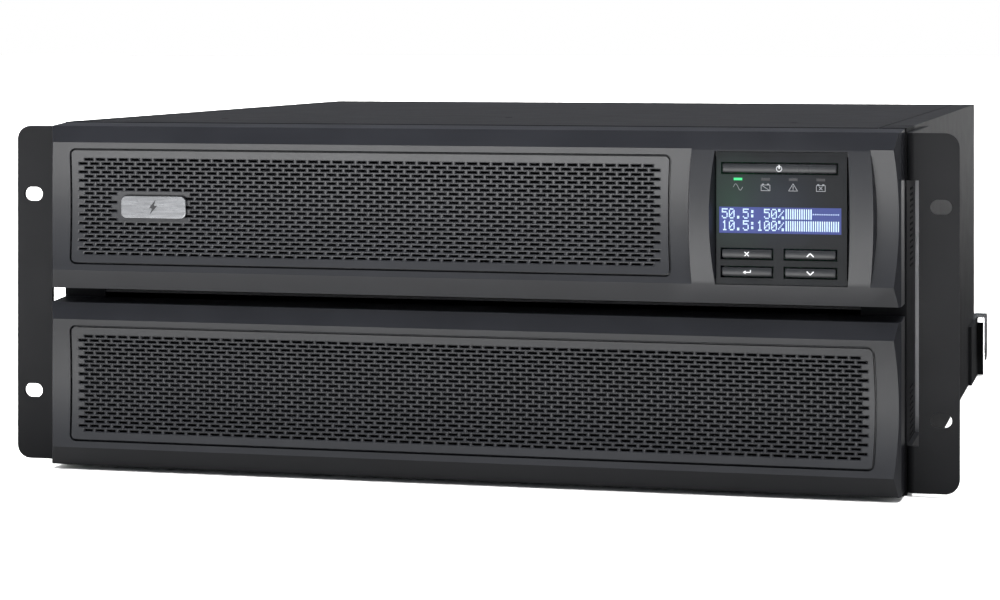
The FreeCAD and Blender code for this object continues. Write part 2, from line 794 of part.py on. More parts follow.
def display_panel():
    """Dark face of the display module, open for the screen, the lights and the keys."""
    gap = 0.5
    body = new_body("DisplayPanel")
    sketch = new_sketch(body, "XZ_Plane", -D.panel_face)
    xs = (D.window_left + gap, D.window_right - gap)
    zs = (D.window_low + gap, D.window_high - gap)
    rectangle(sketch, xs, zs)
    rectangle(sketch, *SCREEN)
    for across, up in KEYS.values():
        key_xs = (across[0] - D.key_gap, across[1] + D.key_gap)
        rectangle(sketch, key_xs, (up[0] - D.key_gap, up[1] + D.key_gap))
    for x in LIGHTS:
        rectangle(sketch, (x - 2.05, x + 2.05), (LIGHT_LEVEL - 0.6, LIGHT_LEVEL + 0.6))
    pad(body, sketch, D.panel_sheet, forward=False)
    finish(body, "display_panel")


def lcd_module():
    """Screen that fills the panel's opening, on a block that stands on the board."""
    recess = 0.4
    xs, zs = SCREEN
    back = D.panel_face + D.panel_sheet
    glass = span("Glass", xs, (D.panel_face + recess, back), zs)
    carrier_xs, carrier_zs = (xs[0] + 1, xs[1] - 1), (zs[0] - 2, zs[1] + 2)
    carrier = span("GlassCarrier", carrier_xs, (back, board_face), carrier_zs)
    finish(fuse("LcdModule", [glass, carrier]), "lcd_module")


def display_board():
    """Circuit board of the display module."""
    xs, zs = (D.window_left + 3, D.window_right - 3), (D.window_low + 3, D.window_high - 3)
    ys = (board_face, board_face + D.board_sheet)
    finish(span("DisplayBoard", xs, ys, zs), "display_board")


def light_pipe(number, x):
    """Clear bar from the board to the face of the panel."""
    xs, zs = (x - 2.05, x + 2.05), (LIGHT_LEVEL - 0.6, LIGHT_LEVEL + 0.6)
    return span(f"LightPipe_{number}", xs, (D.panel_face - 0.05, board_face), zs)


def status_lights():
    pipes = [light_pipe(number, x) for number, x in enumerate(LIGHTS)]
    finish(pipes[0], "status_light_online")
    finish(group("StatusLights", pipes[1:]), "status_lights")


def on_key_front(edge):
    """True for the long edges of a key's front face."""
    return runs_along(edge, "X") and abs(edge.CenterOfMass.y - float(D.key_face)) < 0.01


def key(node, across, up):
    """Key cap with rounded long edges, on a stem that stops short of the board."""
    body = new_body(node.title().replace("_", ""))
    sketch = new_sketch(body, "XZ_Plane", -D.key_face)
    rectangle(sketch, across, up)
    pad(body, sketch, 3.6, forward=False)
    round_edges(body, 1.2, on_key_front)
    cap_back = D.key_face + 3.6
    stem = new_sketch(body, "XZ_Plane", -cap_back)
    circle(stem, (across[0] + across[1]) / 2, (up[0] + up[1]) / 2, 1.4)
    pad(body, stem, board_face - 1 - cap_back, forward=False)
    finish(body, node)


# ---------------------------------------------------------------- battery drawer


tray_half = D.tray_width / 2
tray_back = D.tray_front + D.tray_length
tray_floor = D.sheet + D.sheet


def battery_tray():
    """Sheet tray that slides on the chassis floor, tied to the door by two tabs."""
    xs, ys = (-tray_half, tray_half), (D.tray_front, tray_back)
    outer = span("TrayOuter", xs, ys, (D.sheet, D.sheet + D.tray_wall))
    inner_xs = (-tray_half + D.sheet, tray_half - D.sheet)
    inner_ys = (D.tray_front + D.sheet, tray_back - D.sheet)
    inner = span("TrayInner", inner_xs, inner_ys, (tray_floor, D.sheet + D.tray_wall + 1))
    tray = cut("TraySheet", outer, inner)
    tabs = [
        span(f"TrayTab_{sign}", (x, x + 30), (D.chassis_front, D.tray_front), (4, 5.2))
        for sign, x in ((0, -130), (1, 100))
    ]
    finish(fuse("BatteryTray", [tray, *tabs]), "battery_tray")


def battery_door():
    """Front plate of the drawer, with holes for the studs and the hand screws."""
    foot = D.lower_foot + 1
    body = face_plate("BatteryDoor", D.lower_foot, D.deck_height - 3.5, D.lower_foot, [])
    holes = [
        rod(f"DoorHole_{side}", (sign * 203, -5, 66), "Y", 2.6, 20) for side, sign in SIDES.items()
    ]
    strap_slots = [
        span(f"DoorStrapSlot_{x}", (x, x + 3), (-5, 10), (foot + 31, foot + 47)) for x in (-59, 56)
    ]
    finish(cut("BatteryDoorDrilled", body, [*holes, *strap_slots]), "battery_door")


def battery_blocks():
    """Eight sealed 12 V blocks lying on their sides, four across and two deep."""
    blocks = []
    for row in range(2):
        for column in range(4):
            x = (column - 2) * (D.block_width + 1) + 0.5
            y = D.tray_front + 3 + row * (D.block_length + 8)
            low = (x, y, tray_floor)
            size = (D.block_width, D.block_length, D.block_height)
            blocks.append(box(f"Block_{row}_{column}", low, size))
    finish(group("BatteryBlocks", blocks), "battery_blocks")


def battery_terminals():
    """Two tabs on the rear end of each block."""
    tabs = []
    for row in range(2):
        for column in range(4):
            x = (column - 2) * (D.block_width + 1) + 0.5
            y = D.tray_front + 3 + row * (D.block_length + 8) + D.block_length
            for end, inset in (("minus", 12), ("plus", 77)):
                low = (x + inset, y, tray_floor + D.block_height - 12)
                tabs.append(box(f"Terminal_{row}_{column}_{end}", low, (6.3, 6, 0.8)))
    finish(group("BatteryTerminals", tabs), "battery_terminals")


def battery_strap():
    """Pull strap: a flat band that stands off the door and passes through it."""
    stand_off = -9
    thick = 1.4
    body = new_body("BatteryStrap")
    sketch = new_sketch(body, "XY_Plane", D.lower_foot + 33)
    corners = [
        (-58.2, 5.6),
        (-58.2, 0),
        (-44, stand_off),
        (44, stand_off),
        (58.2, 0),
        (58.2, 5.6),
        (58.2 - thick, 5.6),
        (58.2 - thick, 0.6),
        (43.5, stand_off + thick),
        (-43.5, stand_off + thick),
        (-58.2 + thick, 0.6),
        (-58.2 + thick, 5.6),
    ]
    outline(sketch, corners)
    pad(body, sketch, 14)
    finish(body, "battery_strap")


def battery_connectors():
    """Blade connector on the drawer and its fixed mate on the chassis."""
    plug_front, plug_back = tray_back, tray_back + 20
    plug = span("Plug", (-25, 25), (plug_front, plug_back), (8, 28))
    blades = [
        span(f"Blade_{x}", (x - 6, x + 6), (plug_back, plug_back + 12), (16.8, 19.2))
        for x in (-12, 12)
    ]
    finish(fuse("DrawerConnector", [plug, *blades]), "battery_connector_drawer")

    carrier = span("Socket", (-30, 30), (plug_back + 0.2, plug_back + 24), (D.sheet, 34))
    cavities = [
        span(f"Cavity_{x}", (x - 7, x + 7), (plug_back - 1, plug_back + 14), (15.8, 20.2))
        for x in (-12, 12)
    ]
    finish(cut("FixedConnector", carrier, cavities), "battery_connector_fixed")


def door_screw(side, sign):
    """Captive hand screw: fluted head, collar and shank."""
    x, z = sign * 203, 66
    body = new_body(f"DoorScrew_{side}")
    profile = new_sketch(body, "XZ_Plane", 8)
    circle(profile, x, z, 6)
    pad(body, profile, 8 + D.chassis_front - D.sheet, forward=False)
    shank = new_sketch(body, "XZ_Plane", -(D.chassis_front - D.sheet))
    circle(shank, x, z, 2.5)
    pad(body, shank, 9, forward=False)
    slot = new_sketch(body, "XZ_Plane", 8)
    rectangle(slot, (x - 4.5, x + 4.5), (z - 0.6, z + 0.6))
    pocket(body, slot, 1.5, forward=False)
    finish(body, f"door_screw_{side}")


# ---------------------------------------------------------------- electronics


def main_board():
    """Circuit board on the shelf, open where the battery cables come up."""
    xs, ys = (-206, 104), (30, 440)
    zs = (D.board_height, D.board_height + D.board_sheet)
    board = span("MainBoardSheet", xs, ys, zs)
    opening = span("MainBoardOpening", (-20, 20), (372, 388), (zs[0] - 5, zs[1] + 5))
    finish(cut("MainBoard", board, opening), "main_board")


def board_standoffs():
    """Pillars between the shelf and the main board."""
    pillars = [
        rod(f"Standoff_{x}_{y}", (x, y, deck_top), "Z", 3, D.board_height - deck_top)
        for x in (-200, -50, 98)
        for y in (36, 236, 434)
    ]
    finish(group("BoardStandoffs", pillars), "board_standoffs")


def transformer():
    """Laminated core with two windows, and the coil around its centre leg."""
    yoke, leg, window, height, stack = 15, 30, 15, 72, 50
    x, y, z = 133, 285, deck_top
    length = 2 * yoke + leg + 2 * window
    core = box("CoreBlock", (x, y, z), (stack, length, height))
    openings = [
        box(f"CoreWindow_{start}", (x - 5, y + start, z + yoke), (stack + 10, window, height - 2 * yoke))
        for start in (yoke, yoke + window + leg)
    ]
    finish(cut("TransformerCore", core, openings), "transformer_core")

    coil_depth = leg + 2 * window - 2
    coil_y = y + yoke + 1
    swell = 12
    low = (x - swell, coil_y, z + yoke + 1)
    height_inside = height - 2 * yoke - 2
    coil = box("CoilBlock", low, (stack + 2 * swell, coil_depth, height_inside))
    leg_space = box("CoilSpace", (x, y + yoke + window, z), (stack, leg, height))
    finish(cut("TransformerCoil", coil, leg_space), "transformer_coil")


SINK_LEFT_EDGES = (-80, 20)


def heat_sinks():
    """Two finned extrusions standing on the main board."""
    base, fins, fin, fin_reach, length, tall = 6, 8, 1.6, 28, 150, 56
    sinks = []
    for number, x in enumerate(SINK_LEFT_EDGES):
        z = D.board_height + D.board_sheet
        blocks = [box(f"SinkBase_{number}", (x, 200, z), (base, length, tall))]
        for row in range(fins):
            low = (x + base, 200, z + row * (tall - fin) / (fins - 1))
            blocks.append(box(f"SinkFin_{number}_{row}", low, (fin_reach, length, fin)))
        sinks.append(fuse(f"Sink_{number}", blocks))
    finish(group("HeatSinks", sinks), "heat_sinks")


def power_transistors():
    """Flat packages against the plain side of each heat sink."""
    packages = [
        box(
            f"Transistor_{number}_{row}",
            (x - 4.8, 210 + row * 24, D.board_height + D.board_sheet + 12),
            (4.8, 15.6, 20),
        )
        for number, x in enumerate(SINK_LEFT_EDGES)
        for row in range(6)
    ]
    finish(group("PowerTransistors", packages), "power_transistors")


def capacitors():
    cans = [
        rod(f"Capacitor_{x}_{y}", (x, y, D.board_height + D.board_sheet), "Z", 12.5, 46)
        for x in (-180, -150, -120)
        for y in (230, 262, 294, 326)
    ]
    finish(group("Capacitors", cans), "capacitors")


def wiring_harness():
    """Two battery cables from the fixed connector up through the shelf to the board."""
    cables = []
    radius = 3.2
    for number, x in enumerate((-12, 12)):
        rise_y, drop_y = 380, 412
        high = 112
        outlet = float(tray_back) + 44
        name = f"Cable_{number}"
        run = rod(f"{name}_run", (x, outlet, 26), "Y", radius, rise_y - outlet)
        rise = rod(f"{name}_rise", (x, rise_y, 26), "Z", radius, high - 26)
        back = rod(f"{name}_back", (x, rise_y, high), "Y", radius, drop_y - rise_y)
        drop = rod(f"{name}_drop", (x, drop_y, D.board_height + D.board_sheet), "Z", radius, 14.4)
        bends = [
            ball(f"{name}_bend_{level}", (x, y, z), radius)
            for level, (y, z) in enumerate(((rise_y, 26), (rise_y, high), (drop_y, high)))
        ]
        cables.append(fuse(name, [run, rise, back, drop, *bends]))
    finish(group("WiringHarness", cables), "wiring_harness")


# ---------------------------------------------------------------- rear


OUTLET_PITCH_X, OUTLET_PITCH_Z = 31, 25.5
OUTLET_BANKS = {"left": -30, "right": 38}
OUTLET_BANK_SIZE = (64, 78)
OUTLET_BANK_LOW = 93
INLET = ((148, 196), (22, 62))
LARGE_OUTLETS = ((8, 98), (22, 62))
BREAKER_X, BREAKER_Z = 124, 42
ACCESSORY_SLOT = ((112, 206), (94, 134))
DATA_PORTS = {"usb": ((118, 131), (148, 160)), "serial": ((142, 158), (147, 161))}
BATTERY_PORT = ((-180, -120), (26, 58))
FANS = {"left": D.left_fan_x, "right": D.right_fan_x}
FAN_HOLES = [(dx, dz) for dx in (-35.75, 35.75) for dz in (-35.75, 35.75)]


def rear_panel():
    """Rear plate with every opening, and flanges that meet the side walls."""
    body = new_body("RearPanel")
    sketch = new_sketch(body, "XZ_Plane", -panel_inner)
    rectangle(sketch, (-inner_half, inner_half), (D.sheet, inner_top))
    for x in FANS.values():
        circle(sketch, x, D.fan_height, D.fan_bore)
        for dx, dz in FAN_HOLES:
            circle(sketch, x + dx, D.fan_height + dz, 2.2)
    for left in OUTLET_BANKS.values():
        low = OUTLET_BANK_LOW
        width, height = OUTLET_BANK_SIZE
        rectangle(sketch, (left + 2, left + width - 2), (low + 2, low + height - 2))
    for xs, zs in (INLET, LARGE_OUTLETS, ACCESSORY_SLOT, BATTERY_PORT, *DATA_PORTS.values()):
        rectangle(sketch, (xs[0] + 2, xs[1] - 2), (zs[0] + 2, zs[1] - 2))
    circle(sketch, BREAKER_X, BREAKER_Z, 7)
    pad(body, sketch, D.sheet, forward=False)
    flanges = [
        span(f"RearFlange_{side}", sorted_pair(sign, inner_half - D.sheet, inner_half),
             (panel_inner - 12, panel_inner), (D.sheet, 86))
        for side, sign in SIDES.items()
    ]
    finish(fuse("RearPanelSheet", [body, *flanges]), "rear_panel")


def sorted_pair(sign, near, far):
    """Limits across for a block on the given side."""
    return sorted((sign * near, sign * far), key=float)


def fan_frames():
    """Square frames with a round opening; a boss on four struts carries the shaft."""
    frames = []
    front = panel_inner - D.fan_depth
    for side, x in FANS.items():
        name = f"Fan_{side}"
        low = (x - D.fan_size / 2, front, D.fan_height - D.fan_size / 2)
        block = box(f"{name}_block", low, (D.fan_size, D.fan_depth, D.fan_size))
        bore = rod(f"{name}_bore", (x, front - 1, D.fan_height), "Y", D.fan_bore, D.fan_depth + 2)
        holes = [
            rod(f"{name}_hole_{number}", (x + dx, front - 1, D.fan_height + dz), "Y", 2.2,
                D.fan_depth + 2)
            for number, (dx, dz) in enumerate(FAN_HOLES)
        ]
        frame = cut(f"{name}_frame", block, [bore, *holes])
        boss = rod(f"{name}_boss", (x, front, D.fan_height), "Y", D.hub_radius, 2.5)
        shaft = rod(f"{name}_shaft", (x, front, D.fan_height), "Y", D.shaft_radius, 19)
        reach = D.fan_bore + 0.5
        across = box(f"{name}_across", (x - reach, front, D.fan_height - 1.5), (2 * reach, 2.5, 3))
        upright = box(f"{name}_upright", (x - 1.5, front, D.fan_height - reach), (3, 2.5, 2 * reach))
        frames.append(fuse(name, [frame, boss, shaft, across, upright]))
    finish(group("FanFrames", frames), "fan_frames")


def fan_rotor(side, x):
    """Hub with seven pitched blades, free to turn on the shaft."""
    front = panel_inner - D.fan_depth + 3.2
    hub_depth = 18
    name = f"Rotor_{side}"
    hub = rod(f"{name}_hub", (x, front, D.fan_height), "Y", D.hub_radius, hub_depth)
    blades = []
    count, thick, chord, pitch_angle = 7, 1.4, 18, 38
    for number in range(count):
        blade = doc.addObject("Part::Box", f"{name}_blade_{number}")
        bind(blade, "Length", D.rotor_radius - D.hub_radius + 1)
        blade.Width = thick
        blade.Height = chord
        turn = Rotation(Vector(0, 1, 0), 360 * number / count)
        pitch = Rotation(Vector(1, 0, 0), 90 - pitch_angle)
        centre = Vector(float(x), float(front) + hub_depth / 2, float(D.fan_height))
        corner = pitch.multVec(Vector(float(D.hub_radius) - 1, -thick / 2, -chord / 2))
        blade.Placement = Placement(centre + turn.multVec(corner), turn.multiply(pitch))
        blades.append(blade)
    solid = fuse(f"{name}_solid", [hub, *blades])
    bore = rod(
        f"{name}_bore",
        (x, front - 1, D.fan_height),
        "Y",
        D.shaft_radius + D.running_gap,
        hub_depth - 1,
    )
    finish(cut(name, solid, bore), f"fan_rotor_{side}")


def fan_guards():
    """Wire guards outside the rear panel: rings on a diagonal cross that ends in screw heads."""
    guards = []
    wire = 1.5
    reach = 35.75 * math.sqrt(2)
    for side, x in FANS.items():
        name = f"Guard_{side}"
        rings = [
            ring(f"{name}_ring_{number}", (x, D.chassis_back + 1.2, D.fan_height), radius, wire)
            for number, radius in enumerate((10, 18, 26, 34))
        ]
        bars = []
        for number, angle in enumerate((45, 135)):
            bar = box(f"{name}_bar_{number}", (0, 0, 0), (2 * reach, wire, wire))
            turn = Rotation(Vector(0, 1, 0), angle)
            corner = turn.multVec(Vector(-reach, 0, -wire / 2))
            bar.Placement = Placement(Vector(), turn)
            place(bar, x + corner.x, D.chassis_back, D.fan_height + corner.z)
            bars.append(bar)
        screws = [
            rod(f"{name}_screw_{number}", (x + dx, D.chassis_back, D.fan_height + dz), "Y", 4, 2.6)
            for number, (dx, dz) in enumerate(FAN_HOLES)
        ]
        guards.append(fuse(name, [*rings, *bars, *screws]))
    finish(group("FanGuards", guards), "fan_guards")


def socket_block(name, xs, zs, rim, depth):
    """A body that passes through the panel, and a flange that covers the opening's edge."""
    flange = span(f"{name}Flange", xs, (D.chassis_back, D.chassis_back + rim), zs)
    body_xs, body_zs = (xs[0] + 2.3, xs[1] - 2.3), (zs[0] + 2.3, zs[1] - 2.3)
    body = span(f"{name}Body", body_xs, (D.chassis_back - depth, D.chassis_back), body_zs)
    return fuse(f"{name}Block", [flange, body])


def outlet_face(name, x, z, size, depth, tilt):
    """Cutters for one outlet: a channel around an island, and three contact slots."""
    width, height = size
    mouth = D.chassis_back + 2
    channel = box(f"{name}_channel", (x - width / 2, mouth - depth, z - height / 2),
                  (width, depth + 5, height))
    island = box(f"{name}_island", (x - width / 2 + 2, mouth - depth - 1, z - height / 2 + 2),
                 (width - 4, depth + 1, height - 4))
    slot_size = (4.4, 2.2) if tilt else (2.2, 4.4)
    slots = [
        box(f"{name}_slot_{number}", (x + dx - slot_size[0] / 2, mouth - depth, z + dz - slot_size[1] / 2),
            (slot_size[0], depth + 5, slot_size[1]))
        for number, (dx, dz) in enumerate(((-width / 4 + 1, -1.6), (width / 4 - 1, -1.6), (0, 2)))
    ]
    return [cut(f"{name}_ring", channel, island), *slots]


def outlet_banks():
    """Two banks of six outlets, each two across and three up."""
    banks = []
    width, height = OUTLET_BANK_SIZE
    low = OUTLET_BANK_LOW
    for side, left in OUTLET_BANKS.items():
        block = socket_block(f"Bank_{side}", (left, left + width), (low, low + height), 2, 28)
        cutters = []
        for column in range(2):
            for row in range(3):
                x = left + width / 2 + (column - 0.5) * OUTLET_PITCH_X
                z = low + height / 2 + (row - 1) * OUTLET_PITCH_Z
                name = f"Outlet_{side}_{column}_{row}"
                cutters += outlet_face(name, x, z, (26, 19), 17, False)
        banks.append(cut(f"OutletBank_{side}", block, cutters))
    finish(group("OutletBanks", banks), "outlet_banks")


def outlet_large():
    """Two high-current outlets side by side."""
    xs, zs = LARGE_OUTLETS
    block = socket_block("LargeOutlets", xs, zs, 2, 30)
    cutters = []
    for column in range(2):
        x = (xs[0] + xs[1]) / 2 + (column - 0.5) * 44
        cutters += outlet_face(f"LargeOutlet_{column}", x, (zs[0] + zs[1]) / 2, (34, 26), 20, True)
    finish(cut("OutletLarge", block, cutters), "outlet_large")


def power_inlet():
    """Recessed inlet, with its three blades as a node of their own."""
    xs, zs = INLET
    x, z = (xs[0] + xs[1]) / 2, (zs[0] + zs[1]) / 2
    block = socket_block("Inlet", xs, zs, 2, 32)
    recess_depth = 24
    floor = D.chassis_back + 2 - recess_depth
    recess = box("InletRecess", (x - 16.5, floor, z - 12.5), (33, recess_depth + 5, 25))
    finish(cut("PowerInlet", block, recess), "power_inlet")
    blades = [
        box(f"InletBlade_{number}", (x + dx - 4, floor, z + dz - 1), (8, 17, 2))
        for number, (dx, dz) in enumerate(((-8, -4), (8, -4), (0, 5)))
    ]
    finish(group("InletBlades", blades), "inlet_blades")


def breaker():
    """Breaker body behind the panel with a collar, and its reset button."""
    depth = 30
    inside = rod("BreakerInside", (BREAKER_X, panel_inner - depth, BREAKER_Z), "Y", 9, depth)
    neck = rod("BreakerNeck", (BREAKER_X, panel_inner, BREAKER_Z), "Y", 6.8, D.sheet)
    collar = rod("BreakerCollar", (BREAKER_X, D.chassis_back, BREAKER_Z), "Y", 8.5, 3)
    solid = fuse("BreakerSolid", [inside, neck, collar])
    bore_start = D.chassis_back - 8
    bore = rod("BreakerBore", (BREAKER_X, bore_start, BREAKER_Z), "Y", 4.05, 20)
    finish(cut("BreakerBody", solid, bore), "breaker_body")
    button = rod("BreakerReset", (BREAKER_X, bore_start + 3.5, BREAKER_Z), "Y", 4, 12)
    finish(button, "breaker_reset")


def data_ports():
    """Two metal-shelled data sockets."""
    ports = []
    for name, (xs, zs) in DATA_PORTS.items():
        block = socket_block(f"Port_{name}", xs, zs, 1, 18)
        low, high = (xs[0] + 3.2, xs[1] - 3.2), (zs[0] + 3.2, zs[1] - 3.2)
        mouth = span(f"PortMouth_{name}", low, (D.chassis_back - 10, D.chassis_back + 5), high)
        ports.append(cut(f"PortShell_{name}", block, mouth))
    finish(group("DataPorts", ports), "data_ports")


def external_battery_connector():
    """Two-pole socket for an extra battery pack."""
    xs, zs = BATTERY_PORT
    block = socket_block("BatteryPort", xs, zs, 3, 30)
    mouths = [
        span(f"BatteryPortMouth_{x}", (x - 11, x + 11), (D.chassis_back - 20, D.chassis_back + 5),
             (zs[0] + 8, zs[1] - 8))
        for x in (-164, -136)
    ]
    finish(cut("ExternalBatteryConnector", block, mouths), "external_battery_connector")


def accessory_slot_cover():
    """Blank plate over the slot for an accessory card."""
    xs, zs = ACCESSORY_SLOT
    ys = (D.chassis_back, D.chassis_back + D.sheet)
    finish(span("AccessoryCover", xs, ys, zs), "accessory_slot_cover")


def panel_screws():
    """Screw heads on the rear panel, the accessory cover and the ground point."""
    on_cover = [(116, 114), (202, 114)]
    on_panel = [(-206, 12), (206, 12), (-206, 80), (206, 80), (-100, 42)]
    screws = []
    for number, (x, z) in enumerate(on_cover):
        start = (x, D.chassis_back + D.sheet, z)
        screws.append(rod(f"CoverPlateScrew_{number}", start, "Y", 3.2, 2.2))
    for number, (x, z) in enumerate(on_panel):
        screws.append(rod(f"PanelScrew_{number}", (x, D.chassis_back, z), "Y", 3.6, 2.2))
    finish(group("PanelScrews", screws), "panel_screws")


# ---------------------------------------------------------------- assembly


def build_chassis():
    chassis_base()
    top_cover()
    cover_screws()
    mid_deck()
    front_panel()
    for side, sign in SIDES.items():
        rack_ear(side, sign)
    ear_screws()
    rear_brackets()
    rear_clips()


def build_front():
    upper_bezel()
    lower_bezel()
    grille("upper_grille", D.upper_foot, D.upper_grille_right, D.upper_pitch, 48, behind_badge)
    grille("lower_grille", D.lower_foot, D.lower_grille_right, D.lower_pitch, 65, lambda x, z: False)
    badge()
    dust_filter("upper_filter", D.upper_foot, D.upper_grille_right)
    dust_filter("lower_filter", D.lower_foot, D.lower_grille_right)


def build_display():
    display_housing()
    display_panel()
    lcd_module()
    display_board()
    status_lights()
    for node, (across, up) in KEYS.items():
        key(node, across, up)


def build_drawer():
    battery_tray()
    battery_door()
    battery_blocks()
    battery_terminals()
    battery_strap()
    battery_connectors()
    for side, sign in SIDES.items():
        door_screw(side, sign)


def build_electronics():
    main_board()
    board_standoffs()
    transformer()
    heat_sinks()
    power_transistors()
    capacitors()
    wiring_harness()


def build_rear():
    rear_panel()
    fan_frames()
    for side, x in FANS.items():
        fan_rotor(side, x)
    fan_guards()
    outlet_banks()
    outlet_large()
    power_inlet()
    breaker()
    data_ports()
    external_battery_connector()
    accessory_slot_cover()
    panel_screws()


def check_document():
    """Stop if any object failed, or if a pocket removed nothing."""
    for item in doc.Objects:
        if "Invalid" in item.State or "Error" in item.State:
            raise RuntimeError(f"{item.Name} failed: {item.State}")
        if item.TypeId == "PartDesign::Pocket":
            removed = item.BaseFeature.Shape.Volume - item.Shape.Volume
            if removed < 0.01:
                raise RuntimeError(f"{item.Name} cut nothing")
    for item in nodes:
        if item.Shape.isNull() or not item.Shape.isValid() or not item.Shape.Solids:
            raise RuntimeError(f"{item.Label} has no valid solid")


def export_nodes():
    os.makedirs("parts", exist_ok=True)
    for item in nodes:
        item.Shape.exportStep(f"parts/{item.Label}.step")


build_chassis()
build_front()
build_display()
build_drawer()
build_electronics()
build_rear()
doc.recompute()
check_document()
export_nodes()
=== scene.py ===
"""Looks of a four-unit rack power supply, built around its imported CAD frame."""

import json
import math

import bmesh
import bpy
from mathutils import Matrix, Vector


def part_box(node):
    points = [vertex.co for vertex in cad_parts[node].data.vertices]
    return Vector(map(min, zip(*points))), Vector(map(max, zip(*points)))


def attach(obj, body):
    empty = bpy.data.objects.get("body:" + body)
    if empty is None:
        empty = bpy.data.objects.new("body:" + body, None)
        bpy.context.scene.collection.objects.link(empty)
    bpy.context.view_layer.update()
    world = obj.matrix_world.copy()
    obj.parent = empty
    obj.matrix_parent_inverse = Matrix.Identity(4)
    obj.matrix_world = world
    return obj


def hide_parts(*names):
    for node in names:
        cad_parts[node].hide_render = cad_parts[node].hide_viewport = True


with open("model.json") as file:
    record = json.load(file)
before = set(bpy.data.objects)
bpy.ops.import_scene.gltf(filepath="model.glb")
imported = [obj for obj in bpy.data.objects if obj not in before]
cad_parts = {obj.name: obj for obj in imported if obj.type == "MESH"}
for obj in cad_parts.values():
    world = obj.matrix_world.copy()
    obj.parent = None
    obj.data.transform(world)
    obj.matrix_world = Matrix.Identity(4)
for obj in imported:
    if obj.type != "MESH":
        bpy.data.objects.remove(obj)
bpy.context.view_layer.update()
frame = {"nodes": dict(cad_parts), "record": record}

MM = 0.001  # shapes are worked out in millimetres and stored in metres


def adjust(item, **settings):
    """Set several attributes of a Blender item."""
    for name, value in settings.items():
        setattr(item, name, value)
    return item


# ---------------------------------------------------------------- materials


class Graph:
    """The node tree of a material or a world, with short calls for the nodes it uses."""

    def __init__(self, owner):
        owner.use_nodes = True
        self.owner = owner
        self.tree = owner.node_tree
        self.shader = self.tree.nodes.get("Principled BSDF")

    def node(self, kind, **settings):
        return adjust(self.tree.nodes.new(f"ShaderNode{kind}"), **settings)

    def feed(self, sockets, **values):
        """Give inputs a node's output, a plain value, or what a function of this graph makes.

        Underscores in their names stand for spaces."""
        for name, value in values.items():
            socket = sockets[name.replace("_", " ")]
            if callable(value):
                value = value(self)
            if isinstance(value, bpy.types.NodeSocket):
                self.tree.links.new(value, socket)
            else:
                socket.default_value = (*value, 1) if socket.type == "RGBA" else value

    def place(self):
        """Place in the row frame, in metres."""
        return self.node("TexCoord").outputs["Object"]

    def texture(self, kind, scale, place=None, **settings):
        """A pattern with features of about 1/scale metres."""
        item = self.node(f"Tex{kind}", **settings)
        self.feed(item.inputs, Scale=scale, Vector=place or self.place())
        return item

    def noise(self, scale, detail=3.0, stretch=(1, 1, 1)):
        mapping = self.node("Mapping")
        self.feed(mapping.inputs, Scale=stretch, Vector=self.place())
        item = self.texture("Noise", scale, mapping.outputs["Vector"])
        self.feed(item.inputs, Detail=detail)
        return item.outputs["Fac"]

    def ramp(self, value, low, high, start=0.3, end=0.7):
        """Remap a value between start and end to between low and high."""
        item = self.node("MapRange")
        self.feed(item.inputs, Value=value, From_Min=start, From_Max=end, To_Min=low, To_Max=high)
        return item.outputs["Result"]

    def combine(self, kind, operation, first, second):
        """The number that a Math or VectorMath node makes of two inputs."""
        item = self.node(kind, operation=operation)
        self.feed(dict(zip("AB", item.inputs)), A=first, B=second)
        return item.outputs["Value"]

    def math(self, operation, first, second):
        return self.combine("Math", operation, first, second)

    def distance(self, place):
        """How far the surface is from a place in the row frame."""
        return self.combine("VectorMath", "DISTANCE", self.place(), place)

    def axes(self, vector):
        """The X, Y and Z outputs of a vector."""
        item = self.node("SeparateXYZ")
        self.feed(item.inputs, Vector=vector)
        return item.outputs

    def mix(self, factor, first, second):
        """Mix two colours."""
        item = self.node("Mix", data_type="RGBA")
        self.feed(item.inputs, Factor=factor)
        self.feed({s.name: s for s in item.inputs if s.type == "RGBA"}, A=first, B=second)
        return next(s for s in item.outputs if s.type == "RGBA")

    def edges(self, radius):
        """Near 1 on convex and hollow edges within radius metres, 0 on flat faces."""
        rounded = self.node("Bevel", samples=4)
        self.feed(rounded.inputs, Radius=radius)
        likeness = self.combine("VectorMath", "DOT_PRODUCT", rounded.outputs["Normal"],
                                self.node("NewGeometry").outputs["Normal"])
        return self.ramp(likeness, 1, 0, 0.80, 0.97)

    def bump(self, value, depth):
        item = self.node("Bump")
        self.feed(item.inputs, Distance=depth, Strength=1, Height=value)
        self.set(Normal=item.outputs["Normal"])

    def set(self, **values):
        """Set inputs of the surface's shader."""
        self.feed(self.shader.inputs, **values)


EDGE_WEAR_REACH = 0.0006
PAINT_GLOSS = 0.22


def new_material(name):
    return Graph(bpy.data.materials.new(name))


def shade(colour, factor):
    return tuple(c * factor for c in colour)


def grained(name, colour, roughness, grain, depth, spread=0.12, wear=0.25, gloss=0.5):
    """A finish with tone variation, surface grain, uneven gloss and lightly worn edges."""
    g = new_material(name)
    lighter = tuple(min(1, c * (1 + spread) + 0.001) for c in colour)
    tone = g.mix(g.ramp(g.noise(35, 4), 0, 1), shade(colour, 1 - spread), lighter)
    if wear:
        worn = tuple(min(1, c * 2.2 + 0.02) for c in colour)
        patchy = g.ramp(g.noise(220, 3), 0.25, 1)
        amount = g.math("MULTIPLY", g.edges(EDGE_WEAR_REACH), patchy)
        tone = g.mix(g.math("MULTIPLY", amount, wear), tone, worn)
    g.set(Base_Color=tone, Roughness=g.ramp(g.noise(60, 5), roughness * 0.97, roughness * 1.05),
          Specular_IOR_Level=gloss)
    g.bump(g.noise(grain, 2), depth)
    return g.owner


